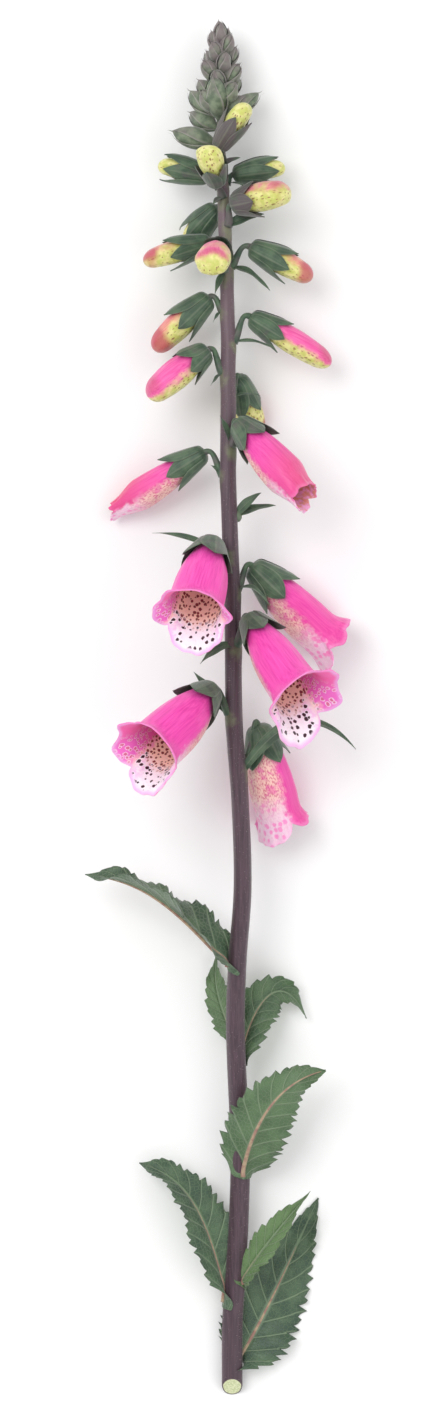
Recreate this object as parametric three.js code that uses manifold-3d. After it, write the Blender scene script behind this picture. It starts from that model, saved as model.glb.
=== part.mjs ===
// A foxglove flower spike, picked and laid on its back.
//
// Millimetres. The stem runs along +Y from its cut end to the tip, +X is the spike's right-hand side and
// +Z is up, away from the surface that the spike lies on. The origin is on that surface, under the middle
// of the spike. Places along the stem are counted from a point 12 mm above the cut end. The stem rises
// from there, because the lips of the open flowers hold it clear of the surface, and sinks again towards
// its thin tip.
//
// Every flower is a bell or a bud on a stalk: a green calyx, in one piece with its stalk and the small
// leaf under it, holds the corolla, and an open bell holds its ovary, style and four stamens. Long
// toothed leaves clasp the lower stem.
import * as THREE from "three";
import { mergeVertices } from "three/addons/utils/BufferGeometryUtils.js";
import Module from "manifold-3d";

const wasm = await Module();
wasm.setup();

// ---- Driving dimensions ----
const GAP = 0.35; // between neighbouring pieces
const PETAL = 0.8; // wall of a corolla
const SEPAL = 0.8; // wall of a calyx
const BLADE = 0.75; // thickness of a leaf
const STALK_R = 1.05; // radius of a flower's stalk
const SEPALS = 5;
const CALYX_BASE = 1.7; // how far the calyx reaches behind the corolla's foot
const CALYX_ROOM = 0.8; // between the calyx and the corolla in it
const CALYX_ROWS = 4;
const SEPAL_CUT = 0.48; // how deep the cuts between two sepals are, as a share of the calyx
// How far the lobes of an open lip reach out, how far back the notches between them are, and how far the
// lip spreads, all round and at the lobes.
const LIP = { notch: -1.2, lower: 9.5, lateral: 3, upper: 1.5 };
const FLARE = { notch: 1.5, lower: 1.8, lateral: 3.6, upper: 2.4 };
// The middle of each lobe, in degrees from the belly side, and how far it reaches to each side.
const LOBES = { lower: [0, 60], lateral: [93, 40], upper: [150, 36] };
const LOWER_LOBE_END = 0.55; // the power that rounds the end of the lower lobe
const LIP_FROM = 0.7; // the lip starts to reach out at this share of a bell's length
const FLARE_FROM = 0.8;
const BELLY = 0.1; // how far a bell swells out below its middle
const PINCHED = { round: 0.3, flat: 0.5 }; // how far the mouth of a shut bell is drawn in and pressed flat
const BELL_SAG = 1.5; // how far a bell's mouth hangs below its axis
const BELL_COLUMNS = 15;
const BELL_ROWS = 6;
const BUD_SAG = 1.2;
const BUD_SIDES = 10;
const BUD_ROWS = [0, 0.06, 0.22, 0.46, 0.68, 0.88, 1];
const BUD_FLAT = { from: 0.3, to: 0.9, wider: 0.1, lower: 0.2 }; // how a bud flattens towards its tip
const BUD_OPEN = 0.2; // a flower that is less open than this is a closed bud
const YOUNG_LONG = 26; // a bud no longer than this is still green
const KNOT_R = 2.1; // radius of the knot where a stalk or small leaf leaves the stem
const OVARY_FOOT = 2.3; // how far the ovary stands in front of the corolla's foot
const SMALL_FOLD = 0.35; // how far a small leaf's halves rise from its rib, as a share of their width
const SMALL_TURN = 0.9; // how far a small leaf's upper face is turned up from the surface
const SMALL_OUT = 0.7; // how far that face is turned away from the stem
const SMALL_ARCH = 0.4; // how far a small leaf arches away from the surface, for 1 up the stem
// A stalk: where it starts in the stem, as a share of its radius, how far it leads out and up before it
// bends, and how far it comes straight into the calyx, as shares of its reach, and its highest rise.
const STALK = { start: 0.7, out: 0.3, up: 0.55, in: 0.42, highest: 12 };
const STALK_FOOT = 1.1; // how much thicker a stalk is at the stem

const STEM_SIDES = 10;
const STEM_STEP = 27; // between two rings of the stem
const CUT_Y = -12; // the cut end
const FLAT_Y = 12; // the stem lies flat on the surface up to here
const STEM_TOP = 500; // the green axis of the bud head goes on from here
const HEAD_TOP = 549;
const CUT_SLANT = 4; // how far the slanted cut leans from square, at the stem's surface
const CUTTER_REACH = 40; // how far along the stem the cut for what grows from it reaches, each way
const MIDDLE = { x: -3.8, y: 268 }; // the middle of the spike, seen from above
const BUTT_R = 4.3; // radius of the stem at its cut end
const BUTT_Z = BUTT_R * Math.cos(Math.PI / STEM_SIDES);

// The stem's centre line and radius: place along the stem, sideways, up, radius.
const STEM = [
  [CUT_Y, 0, BUTT_Z, BUTT_R],
  [FLAT_Y, 0, BUTT_Z, BUTT_R],
  [54, 2.6, 8.6, 4.15],
  [86, 3.4, 12.6, 4.05],
  [138, 1.4, 18.8, 3.9],
  [165, 2.2, 21.6, 3.8],
  [196, 4.3, 24.4, 3.7],
  [232, 3.2, 26.8, 3.6],
  [262, 0.9, 28.0, 3.5],
  [312, 0, 28.4, 3.4],
  [366, -1.7, 26.4, 3.25],
  [428, -1.8, 22.4, 2.9],
  [480, -3.5, 18.8, 2.3],
  [505, -4.8, 17.0, 1.9],
  [HEAD_TOP, -4.4, 14.2, 1.0],
];

// A corolla's radius along its length, as shares of its widest radius and of its length.
const BELL = [
  [0, 0],
  [0.03, 0.3],
  [0.1, 0.46],
  [0.22, 0.64],
  [0.36, 0.82],
  [0.52, 0.93],
  [0.68, 0.98],
  [0.84, 1],
  [1, 1.02],
];
const BUD = [
  [0, 0],
  [0.05, 0.4],
  [0.2, 0.66],
  [0.45, 0.92],
  [0.65, 1],
  [0.82, 0.95],
  [0.94, 0.7],
  [1, 0],
];

// The flowers from the top of the spike down, each as:
//   at: where its stalk leaves the stem,
//   foot: the corolla's foot, measured from the stem's axis there, as [sideways, along, up],
//   face and droop: the way it points, in degrees round the stem from the right-hand side, and towards
//     the stem's cut end from a right angle to it,
//   long and wide: length and widest radius of the corolla,
//   open: 0 for a closed bud, 1 for an open bell,
//   sheath: length of the calyx,
//   leaf, arch and half: tip of the small leaf under the stalk, measured from its root, how far it arches
//     and half its width,
//   leafSide: the side of the stem that this leaf grows from, in degrees, where that isn't the stalk's.
const FLOWERS = [
  [494, [-1, 7.5, 5.2], 28, -55, 21.5, 4.7, 0, 16, [8, 3, 3], 1, 1.4],
  [481, [-2.6, 5.6, 6.4], 108, -44, 19.5, 5.3, 0, 12, [-4, -4, 5], 1, 1.4],
  [485, [-6.4, 5, -1], 184, -16, 21, 4.6, 0, 18.8, [-11, 8, -8], 1, 1.8],
  [487, [5.2, 3.7, -2.2], -8, -12, 21, 4.5, 0, 18.6, [8, -2, 5], 1, 1.5],
  [469, [4, 8.9, 4.4], 24, -12, 25, 6.7, 0, 12, [15, 5, -2], 2, 2.6],
  [471, [-3.8, 5.5, -5], 216, 38, 19, 4.8, 0, 17, [-5, -7, -3], 1, 1.3],
  [455, [-7.4, 7, 0], 174, 14, 28, 5.2, 0, 18, [-5, -6, -3], 1, 1.3],
  [450, [-3, 9, 6], 100, 20, 22, 7, 0, 6.5, [-4, -10, 4], 2, 1.6],
  [452, [10.6, 8, 0], -4, 24, 28, 5.6, 0, 18.5, [16, -10, 3], 4, 2.4],
  [434, [-8, 5, -1.5], 190, 40, 31, 6.2, 0, 17.5, [-4, -5, 1], 1, 1.2],
  [421, [10, 10, -1], -10, 28, 38, 6, 0.1, 16, [17, -3, 2], 3, 1.4],
  [408, [-9, 9, 1], 168, 36, 31, 7, 0.1, 12, [-5, -5, -2], 1, 1.3],
  [398, [4.5, 8, -7.3], -69, 50, 27, 6, 0, 15, [12, 1, -2], 2, 1.6],
  [378, [4.4, 9, 4.5], 31, 42, 42.5, 8.8, 0.42, 14.5, [-5, 12, 5], 2, 1.6],
  [366, [-10.4, 9, -4.6], 205, 27.5, 45, 6.9, 0.25, 17, [-5, 4, 1], 1, 1.2],
  [333, [-7.8, 4.5, 8], 108, 48, 38.5, 11.2, 1, 14, [-30, 9, -2], 5, 1.5, 155],
  [319, [9, 9, -4], -21, 40, 44.5, 9.6, 0.9, 17, [13, -7, 6], 7, 1.7, 12],
  [296, [6.8, 10.5, 8], 49, 43.5, 47.5, 10.2, 1.2, 13.5, [-13, -8, 3], 4, 2.4, 100],
  [268, [-9, 9, 5], 134, 32, 45.5, 11.4, 1, 14, [-14, 17, -7], 1, 2.4, 185],
  [245, [8.6, 17, -6], -50, 67, 41, 9.8, 0.8, 15, [46, 8, 2], 30, 3.2, 12],
].map(([at, foot, face, droop, long, wide, open, sheath, leaf, arch, half, leafSide]) => {
  return { at, foot, face, droop, long, wide, open, sheath, leaf, arch, half, leafSide };
});
// A small leaf pair on the right of the stem whose flower never grew.
const SPARE_LEAVES = { at: 349, root: [3.4, 0, -1], tips: [[11, 9.5, 2], [17, 4.5, -3]], arch: 2, half: 2.3 };

// The bud head: the larger pods under it, by where they leave the axis, the side they face, their rise in
// degrees, their length and their radius, then the number of small ones and the outlines of both as
// [radius, length].
const HEAD_PODS = [
  { at: 512, face: 108, rise: 66, long: 20, wide: 4.8 },
  { at: 514, face: 196, rise: 41, long: 17, wide: 4.0 },
  { at: 514, face: -14, rise: 33, long: 19, wide: 3.6 },
  { at: 509, face: 206, rise: 29, long: 15.5, wide: 3.8 },
  { at: 503, face: 174, rise: 14, long: 20, wide: 4.3 },
];
const SCALES = 21;
// The small pods: the first and the last one's rise, length and radius, and how much steeper the tip's are.
const SCALE_RISE = [40, 60];
const SCALE_LONG = [13.5, 9.5];
const SCALE_WIDE = [3.9, 2.9];
const TIP_RISE = 24;
const GOLDEN_ANGLE = 137.5; // degrees
const POD = [[0, 0], [0.26, 0.1], [0.9, 0.38], [0.95, 0.65], [0.55, 0.9], [0, 1]];
const SCALE = [[0, 0], [0.9, 0.35], [0.8, 0.7], [0, 1]];

// The leaves of the lower stem, from the top down, each as: where it clasps the stem, two points that its
// rib heads for and the tip, all three measured from its root, half its width, the sides that its upper
// face looks to at its root, at its middle and at its tip, how far its halves rise from the rib, as a share
// of their width, and how far its edges wave, as a share of half its width.
const LEVEL = [0, 0, 1];
const LEAVES = [
  [
    162, [-22, 24, 9], [-34, 37, 12], [-61, 39, -6], 12,
    [[0.45, 0.45, 0.77], [0.95, 0.95, -0.5], [0.3, 0.6, 0.75]], 0.4, 0.1,
  ],
  [
    122, [4, 24, -7], [17, 44, -8], [28, 19, -11], 8.8,
    [[-0.2, -0.1, 1], [-0.4, -0.3, 0.9], [0.3, 0.4, 0.8]], 0.14, 0.24,
  ],
  [
    134, [-4, 9, -6], [-9, 20, -12], [-7, 33, -15], 6,
    [[-0.5, 0.1, 0.8], [-0.4, 0.1, 0.9], [-0.3, 0.1, 1]], 0.1, 0.14,
  ],
  [
    75, [3, 20, 11], [13, 42, 20], [34.6, 46, 15], 13,
    [[0.05, 0.2, -1], [0.25, 0.3, -0.9], [0.5, 0.4, -0.7]], 0.2, 0.16,
  ],
  [
    21, [-9, 41, 4], [-17, 55, 11], [-37, 60, 1], 10.5,
    [[0.5, 0.1, 0.8], [0.4, 0.3, 0.8], [0.4, 0.4, 0.8]], 0.35, 0.14,
  ],
  [
    30, [6, 12, 7], [18, 26, 9], [30, 40, 6], 6.5,
    [[-0.4, 0.3, 0.9], [-0.5, 0.4, 0.8], [-0.3, 0.3, 0.9]], 0.28, 0.2,
  ],
  [
    -2, [8, 11, -4.6], [21, 39, -6], [34, 68, -2.6], 15,
    [LEVEL, LEVEL, LEVEL], 0.22, 0.11,
  ],
].map(([at, lead, hang, tip, half, faces, fold, wave]) => ({ at, lead, hang, tip, half, faces, fold, wave }));
const LEAF_TEETH = 7; // on each edge
const TOOTH = 0.12; // how far a tooth stands out, as a share of half the leaf's width
const NOTCH = -0.1;
const RIB_DEPTH = 0.9; // how far the rib stands out under the blade at its root

// ---- Materials ----
const paint = (color, roughness) =>
  new THREE.MeshStandardMaterial({ color, roughness, metalness: 0 });
const STEM_SKIN = paint(0x5a3d4c, 0.62);
const CALYX_SKIN = paint(0x4c6b44, 0.6);
const HEAD_SKIN = paint(0x66735c, 0.65);
const LEAF_SKIN = paint(0x3f6a48, 0.55);
const BELL_SKIN = paint(0xf055b0, 0.45);
const BUD_SKIN = paint(0xe08a90, 0.5);
const YOUNG_SKIN = paint(0xc9c95c, 0.5);
const STAMEN_SKIN = paint(0xf2dfa6, 0.5);

// ---- Numbers ----
const radians = THREE.MathUtils.degToRad;
const { smoothstep, clamp, lerp } = THREE.MathUtils;
const UP_STEM = new THREE.Vector3(0, 1, 0);

// A smooth line through rows of [place, value, value, ...], read at one place.
function along(rows, place) {
  const last = rows.length - 1;
  const slope = (i, k) => {
    const a = rows[Math.max(i - 1, 0)];
    const b = rows[Math.min(i + 1, last)];
    return (b[k] - a[k]) / (b[0] - a[0]);
  };
  let i = 0;
  while (i < last - 1 && place > rows[i + 1][0]) i++;
  const [from, to] = [rows[i], rows[i + 1]];
  const span = to[0] - from[0];
  const t = clamp((place - from[0]) / span, 0, 1);
  const values = [];
  for (let k = 1; k < from.length; k++)
    values.push(
      (2 * t ** 3 - 3 * t ** 2 + 1) * from[k] +
        (t ** 3 - 2 * t ** 2 + t) * span * slope(i, k) +
        (3 * t ** 2 - 2 * t ** 3) * to[k] +
        (t ** 3 - t ** 2) * span * slope(i + 1, k),
    );
  return values;
}

// The stem's axis and radius at a place along it.
function stemAt(y) {
  const [x, z, radius] = y < FLAT_Y ? STEM[0].slice(1) : along(STEM, y);
  return { centre: new THREE.Vector3(x, y, z), radius };
}

// ---- Solids ----
function toSolid(geometry) {
  const bare = new THREE.BufferGeometry().setAttribute("position", geometry.getAttribute("position"));
  bare.setIndex(geometry.index);
  const merged = mergeVertices(bare, 1e-4);
  const corners = [];
  for (let i = 0; i < merged.index.count; i += 3) {
    const face = [merged.index.getX(i), merged.index.getX(i + 1), merged.index.getX(i + 2)];
    if (new Set(face).size === 3) corners.push(...face);
  }
  const vertProperties = new Float32Array(merged.getAttribute("position").array);
  const triVerts = new Uint32Array(corners);
  return new wasm.Manifold(new wasm.Mesh({ numProp: 3, vertProperties, triVerts }));
}

// The largest body of a solid, as a geometry.
function toGeometry(solid) {
  const [body] = solid.decompose().sort((a, b) => b.volume() - a.volume());
  const { vertProperties, triVerts } = body.getMesh();
  const geometry = new THREE.BufferGeometry();
  geometry.setAttribute("position", new THREE.BufferAttribute(vertProperties, 3));
  geometry.setIndex(new THREE.BufferAttribute(triVerts, 1));
  geometry.computeVertexNormals();
  return geometry;
}

function mesh(name, geometry, material) {
  const made = new THREE.Mesh(geometry, material);
  made.name = name;
  return made;
}

// Moves every vertex of a geometry by a rule.
function shaped(geometry, rule) {
  const position = geometry.getAttribute("position");
  const point = new THREE.Vector3();
  for (let i = 0; i < position.count; i++) {
    const { x, y, z } = rule(point.fromBufferAttribute(position, i));
    position.setXYZ(i, x, y, z);
  }
  return geometry;
}

// What would reach lower than the surface that the spike lies on lies flat there.
function laidFlat(point) {
  return point.setZ(Math.max(point.z, 0));
}

// A tube with closed ends along a line: centre(t) and radius(t) for t from 0 to 1.
function tube(sides, steps, centre, radius) {
  const axis = (t) => centre(clamp(t + 0.01, 0, 1)).sub(centre(clamp(t - 0.01, 0, 1))).normalize();
  return shaped(new THREE.CylinderGeometry(1, 1, 1, sides, steps), ({ x, y, z }) => {
    const t = y + 0.5;
    const turn = new THREE.Quaternion().setFromUnitVectors(UP_STEM, axis(t));
    return new THREE.Vector3(x, 0, z).multiplyScalar(radius(t)).applyQuaternion(turn).add(centre(t));
  });
}

// A sheet with thickness, from a rule that places the point (u, v) of a flat sheet. Both faces are split
// alike, and the thickness is laid on square to the sheet, or along the direction that is given. Where the
// sheet is wrapped, its sides u = 0 and u = 1 meet, and its edge v = 0 closes on the axis it goes round.
function thickSheet(columns, rows, place, { front, back, direction, wrapped = false }) {
  const flat = new THREE.PlaneGeometry(1, 1, columns, rows);
  const uv = flat.getAttribute("uv");
  const count = uv.count;
  const step = 1e-3;
  const square = (u, v) => {
    if (wrapped && v < step) return new THREE.Vector3(0, 0, -1);
    const across = place(u + step, v).sub(place(u - step, v));
    const on = place(u, Math.min(v + step, 1)).sub(place(u, Math.max(v - step, 0)));
    return across.cross(on).normalize();
  };
  const positions = new Float32Array(count * 6);
  for (let i = 0; i < count; i++) {
    const [u, v] = [uv.getX(i), uv.getY(i)];
    const point = place(u, v);
    const normal = (direction ?? square)(u, v);
    point.clone().addScaledVector(normal, front(u, v)).toArray(positions, i * 3);
    point.clone().addScaledVector(normal, -back(u, v)).toArray(positions, (count + i) * 3);
  }
  const faces = [...flat.index.array];
  for (let i = 0; i < flat.index.count; i += 3) {
    const [a, b, c] = flat.index.array.slice(i, i + 3);
    faces.push(a + count, c + count, b + count);
  }
  const wall = (a, b) => faces.push(b, a, a + count, b, a + count, b + count);
  const corner = (column, row) => row * (columns + 1) + column;
  for (let c = 0; c < columns; c++) {
    wall(corner(c + 1, 0), corner(c, 0));
    if (!wrapped) wall(corner(c, rows), corner(c + 1, rows));
  }
  for (let r = 0; r < rows && !wrapped; r++) {
    wall(corner(0, r), corner(0, r + 1));
    wall(corner(columns, r + 1), corner(columns, r));
  }
  const geometry = new THREE.BufferGeometry();
  geometry.setAttribute("position", new THREE.BufferAttribute(positions, 3));
  geometry.setIndex(faces);
  return geometry;
}

// ---- Stem ----
function stemGeometry(from, to, sides, grow) {
  const steps = Math.max(2, Math.round((to - from) / STEM_STEP));
  const low = from < FLAT_Y;
  const places = [...Array(steps + 1).keys()].map((i) => lerp(low ? FLAT_Y : from, to, i / steps));
  if (low) places.unshift(from);
  const rings = places.length - 1;
  const shell = new THREE.CylinderGeometry(1, 1, 1, sides, rings, false, Math.PI / sides);
  return shaped(shell, ({ x, y, z }) => {
    const index = Math.round((y + 0.5) * rings);
    const { centre, radius } = stemAt(places[index]);
    const slant = index === 0 && low ? z * CUT_SLANT : 0;
    return new THREE.Vector3(x * (radius + grow), slant, z * (radius + grow)).add(centre);
  });
}

// ---- Flowers ----
const ring = (angle, radius, z) =>
  new THREE.Vector3(Math.sin(angle) * radius, -Math.cos(angle) * radius, z);
const bump = (x) => (Math.abs(x) < 1 ? Math.cos((Math.PI / 2) * x) ** 2 : 0);

// A corolla's surface, round its axis from the belly side and along it, in the flower's own frame: +Z is
// the way it points and +Y its upper side. The lip has one long lobe below, one on each side and two short
// ones above.
function corollaPoint(flower, u, v) {
  const angle = 2 * Math.PI * (u - Math.floor(u));
  const side = Math.abs(angle > Math.PI ? angle - 2 * Math.PI : angle);
  const { long, wide, open } = flower;
  const off = ([middle, half]) => (side - radians(middle)) / radians(half);
  const lower = Math.max(0, 1 - off(LOBES.lower) ** 2) ** LOWER_LOBE_END;
  const [lateral, upper] = [bump(off(LOBES.lateral)), bump(off(LOBES.upper))];
  const lobes = (table) =>
    table.notch + table.lower * lower + table.lateral * lateral + table.upper * upper;
  const mouth = smoothstep(v, LIP_FROM, 1);
  const reach = lobes(LIP) * mouth * lerp(0.35, 1, open);
  const flare = lobes(FLARE) * clamp((v - FLARE_FROM) / (1 - FLARE_FROM), 0, 1) ** 2 * lerp(-0.35, 1, open);
  const belly = 1 + BELLY * Math.sin(Math.PI * v) * Math.cos(angle);
  const radius = wide * along(BELL, v)[0] * belly + flare;
  const shut = (1 - open) * mouth;
  const point = ring(angle, radius * (1 - PINCHED.round * shut), long * v + reach);
  return point.setY(point.y * (1 - PINCHED.flat * shut) - BELL_SAG * v * v);
}

function bellSolid(flower, group) {
  const place = (u, v) => {
    const point = group.localToWorld(corollaPoint(flower, u, v ** 1.15));
    return group.worldToLocal(laidFlat(point));
  };
  const wall = { front: () => 0, back: () => PETAL, wrapped: true };
  return toSolid(thickSheet(BELL_COLUMNS, BELL_ROWS, place, wall));
}

// A closed corolla: a smooth pear shape, a little wider than it is tall near its tip.
function budPoint(flower, angle, v) {
  const point = ring(angle, flower.wide * along(BUD, v)[0], flower.long * v);
  const flat = smoothstep(v, BUD_FLAT.from, BUD_FLAT.to);
  point.x *= 1 + BUD_FLAT.wider * flat;
  return point.setY(point.y * (1 - BUD_FLAT.lower * flat) - BUD_SAG * v * v);
}

function budSolid(flower, group) {
  const profile = BUD_ROWS.map((v, i) => new THREE.Vector2(i && v < 1 ? 1 : 0, v));
  const lathe = shaped(new THREE.LatheGeometry(profile, BUD_SIDES), ({ x, y, z }) => {
    const point = budPoint(flower, Math.hypot(x, z) < 0.5 ? 0 : Math.atan2(x, z) + Math.PI, y);
    return group.worldToLocal(laidFlat(group.localToWorld(point)));
  });
  return toSolid(lathe);
}

const isBud = (flower) => flower.open < BUD_OPEN;

// The corolla's largest radius within a short step of a place along it, which the calyx has to clear.
function heldRadius(flower, z) {
  const share = (place) => along(isBud(flower) ? BUD : BELL, clamp(place / flower.long, 0, 1))[0];
  return flower.wide * Math.max(share(z), share(z + CALYX_BASE)) * (isBud(flower) ? 1 : 1.05);
}

// A calyx: pointed sepals, joined in a cup at the foot.
function calyxSolid(flower) {
  const columns = SEPALS * (isBud(flower) ? 2 : 3);
  const hang = isBud(flower) ? BUD_SAG : BELL_SAG;
  const clear = CALYX_ROOM + SEPAL;
  const place = (u, v) => {
    const lobe = SEPALS * (u - Math.floor(u)) + 0.5;
    const off = Math.abs(2 * (lobe - Math.floor(lobe)) - 1);
    const length = flower.sheath * (1 - SEPAL_CUT * off ** 1.3);
    const z = (length + CALYX_BASE) * v ** 1.6 - CALYX_BASE;
    const spread = 0.5 * v ** 4 * (1 - off);
    const radius = v < 1e-6 ? 0 : heldRadius(flower, z) + clear + spread;
    const sag = hang * clamp(z / flower.long, 0, 1) ** 2;
    return ring(2 * Math.PI * u, radius, z).add(new THREE.Vector3(0, -sag, 0));
  };
  const wall = { front: () => 0, back: () => SEPAL, wrapped: true };
  return toSolid(thickSheet(columns, CALYX_ROWS, place, wall));
}

// A narrow leaf with a fold along its rib, arching up the stem from its root to its tip.
function smallLeafSolid(root, tip, { arch, half }, lift) {
  const middle = root.clone().lerp(tip, 0.5).add(new THREE.Vector3(0, arch, arch * SMALL_ARCH));
  const rib = new THREE.QuadraticBezierCurve3(root, middle, tip);
  const place = (u, v) => {
    const tangent = rib.getTangent(clamp(v, 0, 1));
    const across = new THREE.Vector3().crossVectors(tangent, lift).normalize();
    const width = half * (0.45 + 2.2 * v * (1 - v)) * (1 - v ** 3);
    const c = 2 * u - 1;
    return rib
      .getPoint(clamp(v, 0, 1))
      .addScaledVector(across, c * (width + 0.12))
      .addScaledVector(lift, SMALL_FOLD * Math.abs(c) * width);
  };
  return toSolid(thickSheet(2, 3, place, { front: () => BLADE / 2, back: () => BLADE / 2 }));
}

// The way out of the stem towards a point beside it.
function outward(x, z) {
  return new THREE.Vector3(x, 0, z).normalize();
}

// The way that the upper face of a small leaf looks, which grows from one side of the stem.
function turnedUp(side) {
  return new THREE.Vector3(0, 1, SMALL_TURN).addScaledVector(side, SMALL_OUT).normalize();
}

const deg = (angle) => new THREE.Vector3(Math.cos(radians(angle)), 0, Math.sin(radians(angle)));

// The flower's own frame: its place, and its axes.
function flowerFrame(flower) {
  const stem = stemAt(flower.at);
  const foot = stem.centre.clone().add(new THREE.Vector3(...flower.foot));
  const droop = radians(flower.droop);
  const points = deg(flower.face).multiplyScalar(Math.cos(droop)).addScaledVector(UP_STEM, -Math.sin(droop));
  const top = UP_STEM.clone().addScaledVector(points, -UP_STEM.dot(points)).normalize();
  const group = new THREE.Group();
  group.position.copy(foot);
  group.quaternion.setFromRotationMatrix(
    new THREE.Matrix4().makeBasis(new THREE.Vector3().crossVectors(top, points), top, points),
  );
  group.updateMatrixWorld(true);
  return { group, stem, foot, points };
}

// A part of the stem, a little too thick, to cut what grows from it.
function stemCutter(at) {
  const from = Math.max(at - CUTTER_REACH, CUT_Y);
  const to = Math.min(at + CUTTER_REACH, HEAD_TOP);
  return toSolid(stemGeometry(from, to, STEM_SIDES, GAP));
}

// The knot on the stem that joins what grows out of it side by side.
function swelling(centre) {
  return toSolid(new THREE.IcosahedronGeometry(KNOT_R, 0).translate(...centre.toArray()));
}

// The stalk, the small leaf under it and the calyx, in one green piece.
function greenSolid(flower, frame) {
  const { group, stem, foot, points } = frame;
  const out = outward(flower.foot[0], flower.foot[2]);
  const root = stem.centre.clone().addScaledVector(out, stem.radius * STALK.start);
  const seat = foot.clone().addScaledVector(points, 0.55 - CALYX_BASE);
  const reach = seat.distanceTo(root);
  const rise = clamp(flower.foot[1], 0, STALK.highest);
  const stalk = new THREE.CubicBezierCurve3(
    root,
    root.clone().addScaledVector(out, reach * STALK.out).addScaledVector(UP_STEM, rise * STALK.up),
    seat.clone().addScaledVector(points, -reach * STALK.in),
    seat,
  );
  const leafOut = flower.leafSide === undefined ? out : deg(flower.leafSide);
  const leafRoot = stem.centre.clone().addScaledVector(leafOut, stem.radius * 0.75);
  const tip = leafRoot.clone().add(new THREE.Vector3(...flower.leaf));
  const lift = turnedUp(leafOut);
  const world = [
    toSolid(tube(5, 3, (t) => stalk.getPoint(t), (t) => STALK_R * (1 + STALK_FOOT * (1 - t) ** 3))),
    smallLeafSolid(leafRoot, tip, flower, lift),
  ];
  if (flower.leafSide !== undefined) {
    const between = out.clone().add(leafOut).normalize();
    world.push(swelling(stem.centre.clone().addScaledVector(between, stem.radius)));
  }
  const local = new THREE.Matrix4().copy(group.matrixWorld).invert();
  const outside = world.reduce((a, b) => a.add(b)).subtract(stemCutter(flower.at));
  return outside.transform(local.elements).add(calyxSolid(flower));
}

// The ovary with its style, and four stamens that end in paired anthers under the upper side of the bell.
function stamenSolid(flower) {
  const outline = [[0, 0], [0.8, 0], [1.8, 2.6], [0.45, 7], [0, 7]];
  const profile = outline.map(([r, z]) => new THREE.Vector2(r, z + OVARY_FOOT));
  const ovary = shaped(new THREE.LatheGeometry(profile, 5), ({ x, y, z }) => new THREE.Vector3(x, z, y));
  // A lathe turned to stand along +Z is inside out, so its faces are turned back.
  const turned = ovary.index.array;
  for (let i = 0; i < turned.length; i += 3)
    [turned[i + 1], turned[i + 2]] = [turned[i + 2], turned[i + 1]];
  const solids = [toSolid(ovary)];
  const thread = (side, reach, height) => {
    const line = new THREE.QuadraticBezierCurve3(
      new THREE.Vector3(side * 0.12, 0.3, OVARY_FOOT + 1.2),
      new THREE.Vector3(side * 1.1, height * 0.5, flower.long * reach * 0.5),
      new THREE.Vector3(side, height, flower.long * reach),
    );
    solids.push(toSolid(tube(3, 2, (t) => line.getPoint(t), () => 0.45)));
    return line.getPoint(1);
  };
  thread(0.2, 0.72, flower.wide * 0.42);
  const pairs = [[2.8, 0.5], [-2.8, 0.5], [1.9, 0.64], [-1.9, 0.64]];
  for (const [side, reach] of pairs) {
    const end = thread(side, reach, flower.wide * 0.38);
    const anthers = new THREE.OctahedronGeometry(1).scale(1.5, 0.8, 1);
    solids.push(toSolid(anthers.translate(...end.toArray())));
  }
  return solids.reduce((a, b) => a.add(b));
}

function flowerGroup(flower, index) {
  const frame = flowerFrame(flower);
  const name = "flower_" + String(index + 1).padStart(2, "0");
  const budSkin = flower.long > YOUNG_LONG ? BUD_SKIN : YOUNG_SKIN;
  const skin = isBud(flower) ? budSkin : BELL_SKIN;
  const corolla = (isBud(flower) ? budSolid : bellSolid)(flower, frame.group);
  frame.group.add(mesh(name + "_calyx", toGeometry(greenSolid(flower, frame)), CALYX_SKIN));
  frame.group.add(mesh(name + "_corolla", toGeometry(corolla), skin));
  if (flower.open > 0.5)
    frame.group.add(mesh(name + "_stamens", toGeometry(stamenSolid(flower)), STAMEN_SKIN));
  return frame.group;
}

// ---- Bud head ----
// A closed bud, wrapped in its sepals: a pointed pod that grows out of the axis.
function podSolid({ at, face, rise, long, wide }, outline) {
  const { centre, radius } = stemAt(at);
  const out = deg(face);
  const steep = radians(rise);
  const points = out.clone().multiplyScalar(Math.cos(steep)).addScaledVector(UP_STEM, Math.sin(steep));
  const profile = outline.map(([r, y]) => new THREE.Vector2(r * wide, y * long));
  const pod = new THREE.LatheGeometry(profile, 5);
  pod.applyQuaternion(new THREE.Quaternion().setFromUnitVectors(UP_STEM, points));
  return toSolid(pod.translate(...centre.addScaledVector(out, radius * 0.3).toArray()));
}

// A few larger pods stand out under the head. In the head itself small ones overlap like scales, turned
// by the golden angle from one to the next.
function headSolid() {
  const pods = HEAD_PODS.map((pod) => podSolid(pod, POD));
  for (let i = 0; i < SCALES; i++) {
    const share = i / (SCALES - 1);
    const scale = {
      at: lerp(STEM_TOP + 14, HEAD_TOP - 4, share ** 0.95),
      face: i * GOLDEN_ANGLE,
      rise: lerp(...SCALE_RISE, share) + TIP_RISE * share ** 6,
      long: lerp(...SCALE_LONG, share),
      wide: lerp(...SCALE_WIDE, share),
    };
    pods.push(podSolid(scale, SCALE));
  }
  const axis = toSolid(stemGeometry(STEM_TOP + GAP, HEAD_TOP, 8, 0));
  return wasm.Manifold.union([axis, ...pods]);
}

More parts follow.
